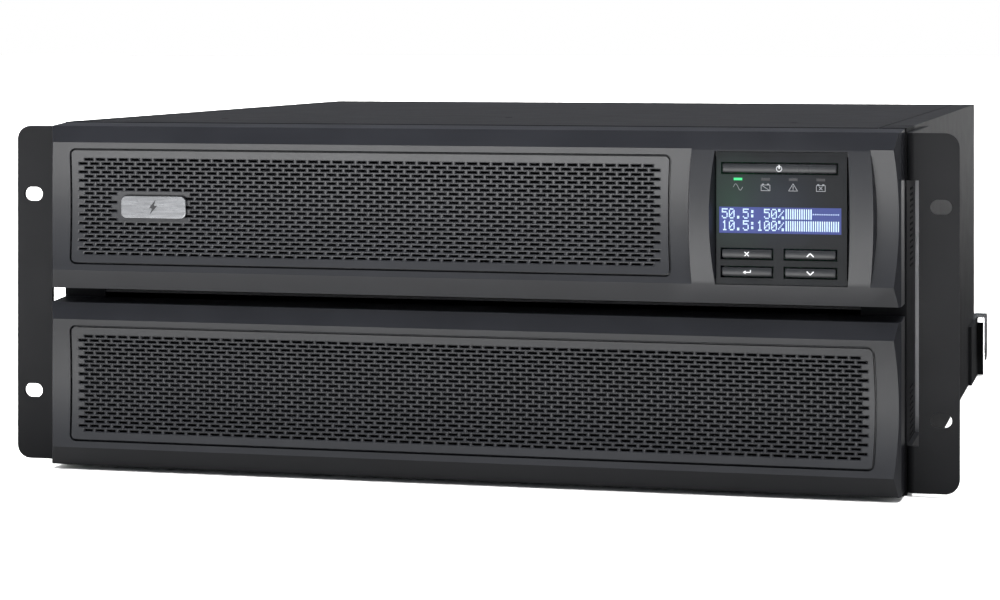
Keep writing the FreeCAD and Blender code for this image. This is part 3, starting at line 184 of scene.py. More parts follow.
def brushed(name, colour, roughness, stretch):
    """Metal with fine scratches along one direction and cloudy gloss."""
    g = new_material(name)
    scratches = g.noise(900, 3, stretch)
    both = g.math("ADD", scratches, g.noise(45, 4))
    g.set(Base_Color=g.mix(g.ramp(both, 0, 1, 0.8, 1.2), shade(colour, 0.82), colour),
          Roughness=g.ramp(scratches, roughness * 0.8, roughness * 1.25), Metallic=1.0)
    g.bump(scratches, 0.00002)
    return g.owner


def galvanised(name, colour, roughness):
    """Zinc-coated sheet with its crystal pattern."""
    g = new_material(name)
    crystals = g.ramp(g.texture("Voronoi", 90).outputs["Color"], 0, 1, 0.1, 0.9)
    g.set(Base_Color=g.mix(crystals, shade(colour, 0.78), colour), Metallic=1.0,
          Roughness=g.ramp(crystals, roughness * 0.8, roughness * 1.3, 0, 1))
    g.bump(g.noise(500, 3), 0.00001)
    return g.owner


def patterned(name, pattern_of, dark, light, depth, **settings):
    """A finish whose tone and relief follow one pattern."""
    g = new_material(name)
    pattern = pattern_of(g)
    g.set(Base_Color=g.mix(pattern, dark, light), **settings)
    g.bump(pattern, depth)
    return g.owner


def foam(name):
    """Open-cell foam."""
    return patterned(name, lambda g: g.texture("Voronoi", 700).outputs["Distance"],
                     (0.003, 0.003, 0.003), (0.012, 0.012, 0.013), 0.0004,
                     Roughness=0.95, Specular_IOR_Level=0.05)


def webbing(name):
    """Woven strap: crossing waves of thread."""
    def weave(g):
        return g.math("MULTIPLY", *(g.texture("Wave", 260, bands_direction=way).outputs["Fac"]
                                    for way in ("X", "Z")))
    return patterned(name, weave, (0.015, 0.015, 0.016), (0.03, 0.03, 0.032), 0.0003,
                     Roughness=0.8, Sheen_Weight=0.2)


def circuit_board(name):
    """Solder mask over a faint net of tracks and pads."""
    def net(g):
        tracks = g.texture("Brick", 90)
        g.feed(tracks.inputs, Mortar_Size=0.025)
        return g.ramp(tracks.outputs["Fac"], 0, 1, 0, 1)
    return patterned(name, net, (0.008, 0.075, 0.03), (0.02, 0.16, 0.065), 0.00003,
                     Roughness=lambda g: g.ramp(g.noise(80, 3), 0.25, 0.4))


def wound_tape(name):
    """Yellow tape wound round a coil in overlapping turns."""
    def turns(g):
        wave = g.texture("Wave", 35, bands_direction="Z")
        g.feed(wave.inputs, Distortion=0.3)
        return wave.outputs["Fac"]
    return patterned(name, turns, (0.42, 0.26, 0.03), (0.62, 0.42, 0.07), 0.0002,
                     Roughness=lambda g: g.ramp(g.noise(70, 3), 0.3, 0.45))


def laminations(name):
    """Stacked transformer sheets seen at their edges."""
    return patterned(name, lambda g: g.texture("Wave", 320, bands_direction="X").outputs["Fac"],
                     (0.05, 0.045, 0.04), (0.16, 0.14, 0.12), 0.0001, Roughness=0.5, Metallic=0.6)


def glowing(name, colour, strength):
    """A lit surface with a slightly uneven back-light."""
    g = new_material(name)
    light = g.mix(g.ramp(g.noise(40, 2), 0, 1), shade(colour, 0.93), colour)
    g.set(Base_Color=(0.01, 0.01, 0.012), Roughness=0.3, Emission_Color=light,
          # the floor as the unit mirrors it: a painted pool of light in front, with painted shade
          # that dims it close by and beside it
          Emission_Strength=strength)
    return g.owner


# share across the panel, share up it, reach in metres and colour of each painted glow: a green glow
# of spilt light by the light, and a blue painted reflection
PANEL_PAINTED_GLOWS = (
    (0.15, 0.62, 0.026, (0.012, 0.038, 0.024)),
    (0.50, 0.60, 0.024, (0.010, 0.014, 0.024)),
)

# and a strip of painted shade beside its right wall that brightens towards the rear

def display_face(name):
    """Dark display panel with painted light: a faint green glow by its light and a faint blue
    painted reflection.
    """
    g = new_material(name)
    low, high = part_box("display_panel")
    painted_glow = (0.0, 0.0, 0.0)
    # painted light: the green glow and the blue reflection are laid on the panel as emission
    for across, up, reach, colour in PANEL_PAINTED_GLOWS:
        centre = (low.x + across * (high.x - low.x), low.y, low.z + up * (high.z - low.z))
        painted_glow = g.mix(g.ramp(g.distance(centre), 1, 0, 0, reach), painted_glow, colour)
    tone = g.mix(g.ramp(g.noise(50, 3), 0, 1), (0.010, 0.011, 0.012), (0.014, 0.015, 0.017))
    g.set(Base_Color=tone, Roughness=g.ramp(g.noise(90, 3), 0.32, 0.42), Specular_IOR_Level=0.16,
          Emission_Color=painted_glow, Emission_Strength=1.0)
    g.bump(g.noise(1500, 2), 0.000004)
    return g.owner


def print_ink(name, colour, strength):
    """Printed marking: flat paint that can also be lit from behind."""
    g = new_material(name)
    tone = g.mix(g.ramp(g.noise(900, 2), 0, 1), shade(colour, 0.9), colour)
    g.set(Base_Color=tone, Roughness=0.5, Emission_Color=tone, Emission_Strength=strength)
    return g.owner


def painted_shade_gloss(g):
    """Gloss of the chassis paint, turned down towards the front as painted shade where the bezels
    and ears shade it.
    """
    along = g.axes(g.node("NewGeometry").outputs["Position"])["Y"]
    return g.ramp(along, 0.01, PAINT_GLOSS, 0.04, 0.06)


def black_paint(name, gloss):
    return grained(name, (0.009, 0.0092, 0.0102), 0.5, 2600, 0.00002, 0.05, 0.12, gloss)


# name: colour, roughness, grain per metre and its depth in metres, then tone spread, wear, gloss
GRAINED_FINISHES = {
    "black_screws": ((0.016, 0.016, 0.018), 0.4, 1500, 0.00001),
    "bezel_plastic": ((0.010, 0.0105, 0.013), 0.36, 2200, 0.00001, 0.12, 0.2, 0.64),
    "grille_plastic": ((0.011, 0.0115, 0.014), 0.36, 2200, 0.00001, 0.12, 0, 0.72),
    "key_plastic": ((0.018, 0.019, 0.021), 0.28, 2500, 0.000004, 0.12, 0.1),
    "dark_light": ((0.028, 0.028, 0.032), 0.3, 900, 0.00001, 0.12, 0),
    "battery_case": ((0.035, 0.036, 0.04), 0.5, 900, 0.00005),
    "connector_plastic": ((0.045, 0.045, 0.048), 0.45, 1200, 0.00002),
    "cable_rubber": ((0.015, 0.015, 0.016), 0.55, 1800, 0.00003, 0.12, 0),
    "package_plastic": ((0.014, 0.014, 0.016), 0.35, 1600, 0.00001),
    "fan_plastic": ((0.018, 0.018, 0.02), 0.45, 1500, 0.00002),
    "socket_plastic": ((0.02, 0.02, 0.022), 0.42, 1500, 0.00002),
    "reset_plastic": ((0.03, 0.03, 0.032), 0.4, 1200, 0.00002),
    "label_paper": ((0.11, 0.115, 0.12), 0.6, 700, 0.00001, 0.06, 0),
}
# name: the function that makes the finish, and what it takes
OTHER_FINISHES = {
    "dark_paint": (black_paint, PAINT_GLOSS),
    # the chassis's paint, with painted shade near the front
    "chassis_paint": (black_paint, painted_shade_gloss),
    "bare_steel": (galvanised, (0.30, 0.305, 0.31), 0.38),
    "zinc_plate": (brushed, (0.70, 0.71, 0.73), 0.28, (1, 1, 0.1)),
    "satin_chrome": (brushed, (0.30, 0.305, 0.315), 0.24, (0.1, 1, 1)),
    "brass_contacts": (brushed, (0.78, 0.58, 0.26), 0.3, (1, 0.1, 1)),
    "sink_aluminium": (brushed, (0.72, 0.73, 0.75), 0.35, (1, 0.05, 1)),
    "cut_edge": (brushed, (0.55, 0.55, 0.57), 0.4, (1, 1, 0.1)),
    "filter_foam": (foam,),
    "panel_plastic": (display_face,),
    "strap_webbing": (webbing,),
    "circuit_board": (circuit_board,),
    "core_steel": (laminations,),
    "coil_tape": (wound_tape,),
    "blue_screen": (glowing, (0.032, 0.075, 0.50), 0.55),
    "green_light": (glowing, (0.03, 0.75, 0.22), 1.3),
    "white_ink": (print_ink, (0.80, 0.81, 0.82), 0.25),
    "grey_ink": (print_ink, (0.30, 0.31, 0.33), 0.10),
    "pixel_ink": (print_ink, (0.42, 0.55, 0.72), 0.7),
}
finishes = {}


def finish_of(name):
    """A finish, made once."""
    if name not in finishes:
        make, *settings = OTHER_FINISHES.get(name) or (grained, *GRAINED_FINISHES[name])
        finishes[name] = make(name, *settings)
    return finishes[name]


# ---------------------------------------------------------------- mesh building


def box(node):
    """Low and high corners of a CAD node, in millimetres."""
    low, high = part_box(node)
    return low / MM, high / MM


def slot_of(node):
    """The material slot that the record gives a node."""
    return next(e["material_slot"] for e in frame["record"]["subparts"] if e["node"] == node)


def add_object(name, data):
    item = bpy.data.objects.new(name, data)
    bpy.context.scene.collection.objects.link(item)
    return item


def paint(item, finish):
    item.data.materials.clear()
    item.data.materials.append(finish_of(finish))


def rework(mesh, *steps):
    """Run bmesh steps over a mesh."""
    work = bmesh.new()
    work.from_mesh(mesh)
    for step in steps:
        step(work)
    work.to_mesh(mesh)
    work.free()


def weld(work):
    bmesh.ops.remove_doubles(work, verts=work.verts, dist=1e-6)


def add_piece(name, shape, body, slot, replaces=(), smooth_angle=30, finish=None, turn=False):
    """A piece from a shape, riding on a CAD body; turn makes its faces look outwards."""
    points, faces = shape
    mesh = bpy.data.meshes.new(name)
    mesh.from_pydata([Vector(p) * MM for p in points], [], faces)
    mesh.validate()
    rework(mesh, weld,
           lambda work: bmesh.ops.dissolve_degenerate(work, edges=work.edges, dist=1e-7))
    mesh.shade_smooth()
    mesh.set_sharp_from_angle(angle=math.radians(smooth_angle))
    if turn:
        rework(mesh, lambda work: bmesh.ops.recalc_face_normals(work, faces=work.faces))
    item = add_object(name, mesh)
    paint(item, finish or slot)
    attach(item, body)
    if replaces:
        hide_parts(*replaces)
    return item


def thicken(item, thickness):
    """Give a sheet a wall on the side its normals point away from."""
    adjust(item.modifiers.new("Wall", "SOLIDIFY"), thickness=thickness * MM, offset=-1,
           use_even_offset=True)


def soften(item, width, segments=2, angle=40):
    """Round off the sharp edges of a piece."""
    adjust(item.modifiers.new("Soft edges", "BEVEL"), width=width * MM, segments=segments,
           limit_method="ANGLE", angle_limit=math.radians(angle), harden_normals=True,
           use_clamp_overlap=True)


def around(count):
    """Neighbouring pairs of indices round a ring; the last pair closes it."""
    return [(i, (i + 1) % count) for i in range(count)]


# ---------------------------------------------------------------- bezels

lower_low, lower_high = box("lower_bezel")

RIDGE_Y = lower_low.y
PANEL_CLEARANCE = 0.1
BEZEL_BACK = box("front_panel")[0].y - PANEL_CLEARANCE
BEZEL_HALF = lower_high.x
BEZEL_HEIGHT = lower_high.z - lower_low.z
BEZEL_WALL = 2.6
RIDGE_LOW = 9.4
RIDGE_HIGH = 74.2
BAND_MIDDLE = (RIDGE_LOW + RIDGE_HIGH) / 2
BAND_HALF = (RIDGE_HIGH - RIDGE_LOW) / 2
BAND_RADIUS = 128.0
BAND_DEPTH = 4.12
BAND_CENTRE_Y = RIDGE_Y + BAND_DEPTH - BAND_RADIUS
BEVEL_STEP = 4.0
TOP_RISE = 1.2
BEVEL_TOP = BEZEL_HEIGHT - TOP_RISE
END_CHAMFER = 3.0
END_DEPTH = 6.1
BAND_LEVELS = 30
CORNER_LEVELS = 6

GRILLE_HALF = 28.3
GRILLE_RIM = 3.0
GRILLE_CORNER = 2.2
GRILLE_WALL = 1.3
FLANGE_WIDTH = GRILLE_RIM - 0.4
FLANGE_RISE = 0.8 * GRILLE_RIM
GROOVE = 1.1
OPENING_HALF = GRILLE_HALF + GROOVE
OPENING_CORNER = GRILLE_CORNER + GROOVE
ROWS = 23
ROW_PITCH = 2.172
VENT_LENGTH = 4.6
VENT_WIDTH = 1.05
VENT_STEPS = 4
FIRST_VENT = -196.2
BADGE_BOX = box("badge")
BADGE_MARGIN = 1


def bezel_spec(name, right_bow, vent_bow, pitch, columns):
    """One bezel: height of its foot, and its grille's edges, side bows and columns of slots."""
    grille_low, grille_high = box(f"{name}_grille")
    return {
        "foot": box(f"{name}_bezel")[0].z,
        "left": grille_low.x + GRILLE_RIM,
        "right": grille_high.x - GRILLE_RIM,
        "left_bow": -1.0,
        "right_bow": right_bow,
        "vent_bow": vent_bow,
        "pitch": pitch,
        "columns": columns,
    }


UPPER = bezel_spec("upper", -1.7, -0.9, 6.27, 48)
LOWER = bezel_spec("lower", 1.25, 0.92, 6.14, 65)

# the display's barrel: x of each line at the ridges, and how far it bows at mid height
BARREL = {
    "foot_left": (116.1, -2.5),
    "top_left": (116.1, -1.1),
    "window_left": (127.4, -2.6),
    "window_right": (190.7, 1.2),
    "top_right": (201.2, 1.7),
    "foot_right": (201.2, 2.85),
}
BARREL_SWELL = 2.5
WINDOW_TOP = 73.2
WINDOW_DEPTH_Y = box("display_panel")[0].y + 1.2
# places in a row of the bezel's points: the grille's opening and the display's window
GRILLE_COLUMN = 2
WINDOW_COLUMN = 6


def crown(h):
    """1 at mid height of the band, 0 at and beyond the ridges."""
    return max(0.0, 1 - ((h - BAND_MIDDLE) / BAND_HALF) ** 2)


def band_y(h):
    """Front surface of a bezel at height h above its foot."""
    if h <= RIDGE_LOW:
        return RIDGE_Y + BEVEL_STEP * (1 - h / RIDGE_LOW)
    if h >= RIDGE_HIGH:
        return RIDGE_Y + BEVEL_STEP * (h - RIDGE_HIGH) / (BEVEL_TOP - RIDGE_HIGH)
    return BAND_CENTRE_Y + math.sqrt(BAND_RADIUS**2 - (h - BAND_MIDDLE)**2)


def bezel_levels(has_display):
    """Heights of the bezel's grid lines, closer where the grille's opening has round corners."""
    levels = {0.0, BEVEL_TOP}
    for i in range(BAND_LEVELS + 1):
        levels.add(round(RIDGE_LOW + (RIDGE_HIGH - RIDGE_LOW) * i / BAND_LEVELS, 4))
    for i in range(CORNER_LEVELS + 1):
        turn = math.pi / 2 * i / CORNER_LEVELS
        reach = OPENING_HALF - OPENING_CORNER + OPENING_CORNER * math.sin(turn)
        levels |= {round(BAND_MIDDLE - reach, 4), round(BAND_MIDDLE + reach, 4)}
    if has_display:
        levels.add(WINDOW_TOP)
    levels = sorted(levels)
    return [h for i, h in enumerate(levels) if i == 0 or h - levels[i - 1] > 0.05]


def opening_edge(spec, side, h):
    """Left or right edge of the grille's opening at height h, rounded at the corners."""
    sign = -1 if side == "left" else 1
    into_corner = max(0.0, abs(h - BAND_MIDDLE) - (OPENING_HALF - OPENING_CORNER))
    into_corner = min(OPENING_CORNER, into_corner)
    inset = OPENING_CORNER - math.sqrt(OPENING_CORNER**2 - into_corner**2)
    return spec[side] + spec[f"{side}_bow"] * crown(h) + sign * (GROOVE - inset)


def bezel_line(spec, has_display, h):
    """Points across the front of a bezel at height h."""
    y = band_y(h)
    proud = y if crown(h) == 0 else RIDGE_Y - BARREL_SWELL * crown(h)
    crease = BEZEL_HALF - END_CHAMFER + (y - RIDGE_Y) * END_CHAMFER / END_DEPTH
    end_y = RIDGE_Y + END_DEPTH
    line = [(-BEZEL_HALF, end_y), (-crease, y), (opening_edge(spec, "left", h), y),
            (opening_edge(spec, "right", h), y)]
    if has_display:
        for name, (at_ridge, bow) in BARREL.items():
            line.append((at_ridge + bow * crown(h), y if name.startswith("foot") else proud))
    line += [(crease, y), (BEZEL_HALF, end_y)]
    return [(x, depth, spec["foot"] + h) for x, depth in line]


def bezel_piece(name, spec, has_display):
    """Bezel as a thick sheet: a grid over the front, walls behind it and its openings."""
    levels = bezel_levels(has_display)
    foot = spec["foot"]
    points, faces, rows = [], [], []

    def add_points(found):
        start = len(points)
        points.extend(found)
        return range(start, len(points))

    def is_open(column, h):
        if column == GRILLE_COLUMN:
            return abs(h - BAND_MIDDLE) < OPENING_HALF
        return has_display and column == WINDOW_COLUMN and RIDGE_LOW < h < WINDOW_TOP

    for h in levels:
        rows.append(add_points(bezel_line(spec, has_display, h)))
    for index, (below, above) in enumerate(zip(rows, rows[1:])):
        for column in range(len(below) - 1):
            if not is_open(column, (levels[index] + levels[index + 1]) / 2):
                faces.append((below[column], below[column + 1], above[column + 1], above[column]))

    under = add_points([(points[i][0], BEZEL_BACK, foot) for i in rows[0]])
    over = add_points([(points[i][0], BEZEL_BACK, foot + BEZEL_HEIGHT) for i in rows[-1]])
    for i, j in around(len(under))[:-1]:
        faces.append((under[i], under[j], rows[0][j], rows[0][i]))
        faces.append((rows[-1][i], rows[-1][j], over[j], over[i]))
    for end, flip in ((0, 1), (-1, -1)):
        side = [row[end] for row in rows]
        back = add_points([(points[side[0]][0], BEZEL_BACK, foot + h)
                           for h in (*levels[:-1], BEZEL_HEIGHT)])
        for i, j in around(len(side))[:-1]:
            faces.append((back[i], side[i], side[j], back[j])[::flip])

    if has_display:
        faces += window_walls(points, rows, levels)
    item = add_piece(name, (points, faces), name, "bezel_plastic", (name,), 25)
    thicken(item, BEZEL_WALL)
    soften(item, 0.5, 3, 28)


def window_walls(points, rows, levels):
    """Drafted walls from the bulge's front edge back to the display panel."""
    inside = [row for row, h in zip(rows, levels) if RIDGE_LOW <= h <= WINDOW_TOP + 0.01]
    faces, sides = [], []
    for column, name, flip in ((WINDOW_COLUMN, "window_left", 1),
                               (WINDOW_COLUMN + 1, "window_right", -1)):
        front = [row[column] for row in inside]
        back = range(len(points), len(points) + len(front))
        points += [(BARREL[name][0], WINDOW_DEPTH_Y, points[i][2]) for i in front]
        sides.append((front, back))
        for i, j in around(len(front))[:-1]:
            faces.append((front[i], back[i], back[j], front[j])[::flip])
    (left, left_back), (right, right_back) = sides
    for end, flip in ((0, -1), (-1, 1)):
        faces.append((left[end], right[end], right_back[end], left_back[end])[::flip])
    return faces


# ---------------------------------------------------------------- grilles


def arc_point(x, along, foot):
    """Point of the concave band at a distance along its curve from mid height."""
    angle = along / BAND_RADIUS
    return (x, BAND_CENTRE_Y + BAND_RADIUS * math.cos(angle),
            foot + BAND_MIDDLE + BAND_RADIUS * math.sin(angle))


def behind_badge(x, z):
    """Whether a slot is close to the badge, where the sheet stays plain."""
    low, high = BADGE_BOX
    return (low.x - BADGE_MARGIN < x < high.x + BADGE_MARGIN
            and low.z - BADGE_MARGIN < z < high.z + BADGE_MARGIN)


class Grille:
    """A perforated sheet in the making: rows of slots in a brick pattern, and its border."""

    def __init__(self, spec):
        self.spec = spec
        self.points, self.faces, self.known = [], [], {}
        self.last = 2 * (spec["columns"] - 1)
        self.row_edges = [(row - ROWS / 2) * ROW_PITCH for row in range(ROWS + 1)]

    def vertex(self, x, along, bow):
        """A point of the sheet, shifted sideways by a bow that fades towards the ridges."""
        key = (round(x, 3), round(along, 3), round(bow, 6))
        if key not in self.known:
            self.known[key] = len(self.points)
            height = BAND_RADIUS * math.sin(along / BAND_RADIUS) + BAND_MIDDLE
            self.points.append(arc_point(x + bow * crown(height), along, self.spec["foot"]))
        return self.known[key]

    def near_slot(self, x, along):
        """A point among the slots, where the bow changes evenly from side to side."""
        spec = self.spec
        share = (x - FIRST_VENT) / (self.half_x(self.last) - FIRST_VENT)
        bow = spec["left_bow"] + (spec["vent_bow"] - spec["left_bow"]) * share
        return self.vertex(x, along, bow)

    def half_x(self, k):
        """Place of the k-th half column."""
        return FIRST_VENT + k * self.spec["pitch"] / 2

    def at(self, k, along):
        return self.near_slot(self.half_x(k), along)

    def slot_cell(self, k, low, high, is_open):
        """One cell of a row: two halves round a slot, or a plain face."""
        middle = (low + high) / 2
        corners = [self.at(k + step, along) for along, step in (
            (low, -1), (low, 0), (low, 1), (high, 1), (high, 0), (high, -1))]
        if not is_open:
            self.faces.append(tuple(corners))
            return
        x = self.half_x(k)
        radius = VENT_WIDTH / 2
        cap = VENT_LENGTH / 2 - radius
        bottom, top = self.near_slot(x, middle - radius), self.near_slot(x, middle + radius)
        left_cap, right_cap = [], []
        for i in range(VENT_STEPS + 1):
            turn = math.pi / 2 + math.pi * i / VENT_STEPS
            across, up = radius * math.cos(turn), radius * math.sin(turn)
            left_cap.append(self.near_slot(x - cap + across, middle + up))
            right_cap.append(self.near_slot(x + cap - across, middle - up))
        a, b, c, d, e, f = corners
        self.faces.append((a, b, bottom, *left_cap[::-1], top, e, f))
        self.faces.append((b, c, d, e, top, *right_cap[::-1], bottom))

    def slots(self):
        """All rows; every other row is half a pitch aside and ends in a plain half cell."""
        for row, (low, high) in enumerate(zip(self.row_edges, self.row_edges[1:])):
            shifted = row % 2 == 0
            if shifted:
                for k in (-1, self.last):
                    self.faces.append((self.at(k, low), self.at(k + 1, low),
                                       self.at(k + 1, high), self.at(k, high)))
            height = self.spec["foot"] + BAND_MIDDLE + (low + high) / 2
            for k in range(1 if shifted else 0, self.last + 1, 2):
                self.slot_cell(k, low, high, not behind_badge(self.half_x(k), height))

    def border(self):
        """Plain border round the slots; returns its edge, anticlockwise from above left."""
        spec = self.spec
        sides = {}
        for side, sign, end in (("left", -1, -1), ("right", 1, self.last + 1)):
            outer = [self.vertex(spec[side], a, spec[f"{side}_bow"]) for a in self.row_edges]
            inner = [self.at(end, a) for a in self.row_edges]
            for i, j in around(len(outer))[:-1]:
                self.faces.append((outer[i], inner[i], inner[j], outer[j])[::-sign])
            corners = [self.corner(side, sign, up) for up in (-1, 1)]
            sides[side] = (outer, *corners)
        left, left_below, left_above = sides["left"]
        right, right_below, right_above = sides["right"]
        low_line, high_line = ([self.at(k, edge) for k in range(-1, self.last + 2)]
                               for edge in (self.row_edges[0], self.row_edges[-1]))
        self.faces.append((left[-1], *high_line, right[-1], *right_above, *left_above[::-1]))
        self.faces.append((*left_below[::-1], left[0], *low_line, right[0], *right_below)[::-1])
        return [*left[::-1], *left_below, *right_below[::-1], *right, *right_above,
                *left_above[::-1]]

    def corner(self, side, sign, up):
        """Rounded corner from a side's edge to the top or bottom edge."""
        reach = BAND_RADIUS * math.asin(GRILLE_HALF / BAND_RADIUS)
        found = []
        for i in range(6):
            turn = math.pi / 2 * i / 5
            along = up * (reach - GRILLE_CORNER * (1 - math.sin(turn)))
            inset = GRILLE_CORNER * (1 - math.cos(turn))
            found.append(self.vertex(self.spec[side] - sign * inset, along,
                                     self.spec[f"{side}_bow"]))
        return found

    def rim(self, ring):
        """Step back from the border's edge, and a flange behind the bezel."""
        xs = [self.points[i][0] for i in ring]
        middle_x = (min(xs) + max(xs)) / 2
        middle_z = self.spec["foot"] + BAND_MIDDLE
        first = len(self.points)
        steps = [(x, y + BEZEL_WALL, z) for x, y, z in (self.points[i] for i in ring)]
        flange = [(x + math.copysign(FLANGE_WIDTH, x - middle_x), y,
                   z + FLANGE_RISE * (z - middle_z) / GRILLE_HALF) for x, y, z in steps]
        self.points += steps + flange
        count = len(ring)
        for i, j in around(count):
            self.faces.append((ring[i], first + i, first + j, ring[j]))
            self.faces.append((first + i, first + count + i, first + count + j, first + j))


def grille_piece(side, spec):
    """Perforated sheet behind a bezel's opening."""
    grille = Grille(spec)
    grille.slots()
    grille.rim(grille.border())
    name = f"{side}_grille"
    item = add_piece(name, (grille.points, grille.faces), f"{side}_bezel", "grille_plastic",
                     (name,), 40)
    thicken(item, GRILLE_WALL)


# ---------------------------------------------------------------- small shapes

INK_THICKNESS = 0.05
# how far a marking stands in front of a key and of the display panel
KEY_INK_PROUD = 0.04
PANEL_INK_PROUD = 0.03


def prism(outline, y_front, y_back):
    """Points and faces of a solid from an outline of (x, z) points, between two depths."""
    count = len(outline)
    points = [(x, y, z) for y in (y_front, y_back) for x, z in outline]
    faces = [tuple(range(count)), tuple(range(2 * count - 1, count - 1, -1))]
    faces += [(j, i, count + i, count + j) for i, j in around(count)]
    return points, faces


def arc_path(x, z, radius, start, end, steps=20):
    """Points along an arc, in degrees anticlockwise seen from the front."""
    angles = (math.radians(start + (end - start) * i / steps) for i in range(steps + 1))
    return [(x + radius * math.cos(a), z + radius * math.sin(a)) for a in angles]


def rounded_outline(low, high, radius, inset=0, steps=6):
    """Rounded rectangle between (x, z) corners, anticlockwise seen from the front."""
    near = radius + inset
    left, right, below, above = low[0] + near, high[0] - near, low[1] + near, high[1] - near
    corners = ((right, below), (right, above), (left, above), (left, below))
    outline = []
    for turn, (x, z) in enumerate(corners):
        outline += arc_path(x, z, radius, 90 * turn - 90, 90 * turn, steps)
    return outline


def join(parts):
    """Several (points, faces) as one."""
    points, faces = [], []
    for some_points, some_faces in parts:
        start = len(points)
        points += some_points
        faces += [tuple(i + start for i in face) for face in some_faces]
    return points, faces


def stroke(path, width, y, closed=False):
    """A flat line of the given width through (x, z) points, as a thin solid."""
    parts = []
    path = path + path[:1] if closed else path
    for (x0, z0), (x1, z1) in zip(path, path[1:]):
        length = math.hypot(x1 - x0, z1 - z0)
        across, up = (x1 - x0) / length * width, (z1 - z0) / length * width
        nx, nz, ex, ez = -up / 2, across / 2, across / 3, up / 3
        outline = [(x0 - ex - nx, z0 - ez - nz), (x1 + ex - nx, z1 + ez - nz),
                   (x1 + ex + nx, z1 + ez + nz), (x0 - ex + nx, z0 - ez + nz)]
        parts.append(prism(outline, y, y + INK_THICKNESS))
    return join(parts)


def badge_piece():
    """Satin plate with softened edges and a plain bolt sign; it stands for no maker."""
    low, high = box("badge")
    plate = prism(rounded_outline((low.x, low.z), (high.x, high.z), 3.0), low.y, high.y)
    soften(add_piece("badge", plate, "upper_bezel", "satin_chrome", ("badge",)), 0.5, 3)
    x, z = (low.x + high.x) / 2, (low.z + high.z) / 2
    bolt = [(x - 2.2, z - 0.6), (x - 0.5, z - 0.6), (x - 1.6, z - 3.6), (x + 2.2, z + 0.7),
            (x + 0.5, z + 0.7), (x + 1.2, z + 3.6), (x - 1.2, z + 0.5)]
    sign = add_piece("badge_sign", prism(bolt, low.y - 0.25, low.y + 0.1), "upper_bezel",
                     "bezel_plastic")
    soften(sign, 0.08)


# ---------------------------------------------------------------- keys and display

KEY_DEPTH = 3.6
KEY_CROWN = 1.5
KEY_STEPS = 12
STEM_RADIUS = 1.4
# distance from a key's end and how much smaller the section is there
KEY_ENDS = ((0, 0.55), (0.25, 0.2), (0.7, 0.0))
SIGN_WIDTH = 0.42
ARROW_WIDTH = 0.55


def key_piece(node):
    """Key cap with a rounded bar shape, a little crowned along its front."""
    low, high = box(node)
    height = high.z - low.z
    middle_x, middle = (low.x + high.x) / 2, (low.z + high.z) / 2
    back = low.y + KEY_DEPTH
    profile = []
    for i in range(KEY_STEPS + 1):
        turn = math.pi * i / KEY_STEPS
        profile.append((low.y + KEY_CROWN * (1 - math.sin(turn) ** 0.55),
                        -height / 2 * math.cos(turn)))
    stations = [(low.x + reach, inset) for reach, inset in KEY_ENDS]
    stations += [(high.x - reach, inset) for reach, inset in KEY_ENDS[::-1]]
    points = []
    for x, inset in stations:
        ring = [(x, y + inset, middle + z * (1 - inset / height)) for y, z in profile]
        points += ring + [(x, back, ring[-1][2]), (x, back, ring[0][2])]
    count = len(profile) + 2
    faces = [tuple(range(count))[::-1], tuple(range(len(points) - count, len(points)))]
    for first in range(0, len(points) - count, count):
        faces += [(first + i, first + j, first + count + j, first + count + i)
                  for i, j in around(count)]
    stem = prism(arc_path(middle_x, middle, STEM_RADIUS, 0, 340, 17), back - 0.2, high.y)
    add_piece(node, join([(points, faces), stem]), node, "key_plastic", (node,), 50, turn=True)


# sign of each key: its piece, then the lines it is drawn with, from the middle of the key
KEY_SIGNS = {
    "power_button": ("power_sign", arc_path(0, -0.1, 1.25, 125, 415, 24), [(0, 0.1), (0, 1.6)]),
    "esc_button": ("esc_sign", [(0.9, -0.9), (-0.9, 0.9)], [(-0.9, -0.9), (0.9, 0.9)]),
    "enter_button": ("enter_sign", [(1.8, 0.9), (1.8, -0.1), (-0.6, -0.1)]),
    "up_button": ("up_button_sign", [(-1.5, -0.7), (0, 0.75), (1.5, -0.7)]),
    "down_button": ("down_button_sign", [(-1.5, 0.7), (0, -0.75), (1.5, 0.7)]),
}
ENTER_HEAD = ((-1.9, -0.1), (-0.5, -1.0), (-0.5, 0.8))


def key_sign(node):
    """White marking on a key: power, cancel, return, up or down."""
    low, high = box(node)
    x, y, z = (low.x + high.x) / 2, low.y - KEY_INK_PROUD, (low.z + high.z) / 2
    name, *lines = KEY_SIGNS[node]
    width = ARROW_WIDTH if node in ("up_button", "down_button") else SIGN_WIDTH
    shapes = [stroke([(x + across, z + up) for across, up in path], width, y) for path in lines]
    if node == "enter_button":
        head = [(x + across, z + up) for across, up in ENTER_HEAD]
        shapes.append(prism(head, y, y + INK_THICKNESS))
    add_piece(name, join(shapes), node, "key_plastic", finish="white_ink")


ICON_DROP = 3.2  # from the bottom of the lights to the middle of the icons
ICON_LINE = 0.24
WAVE_STEPS = 24
LIGHT_WIDTH = 4.1


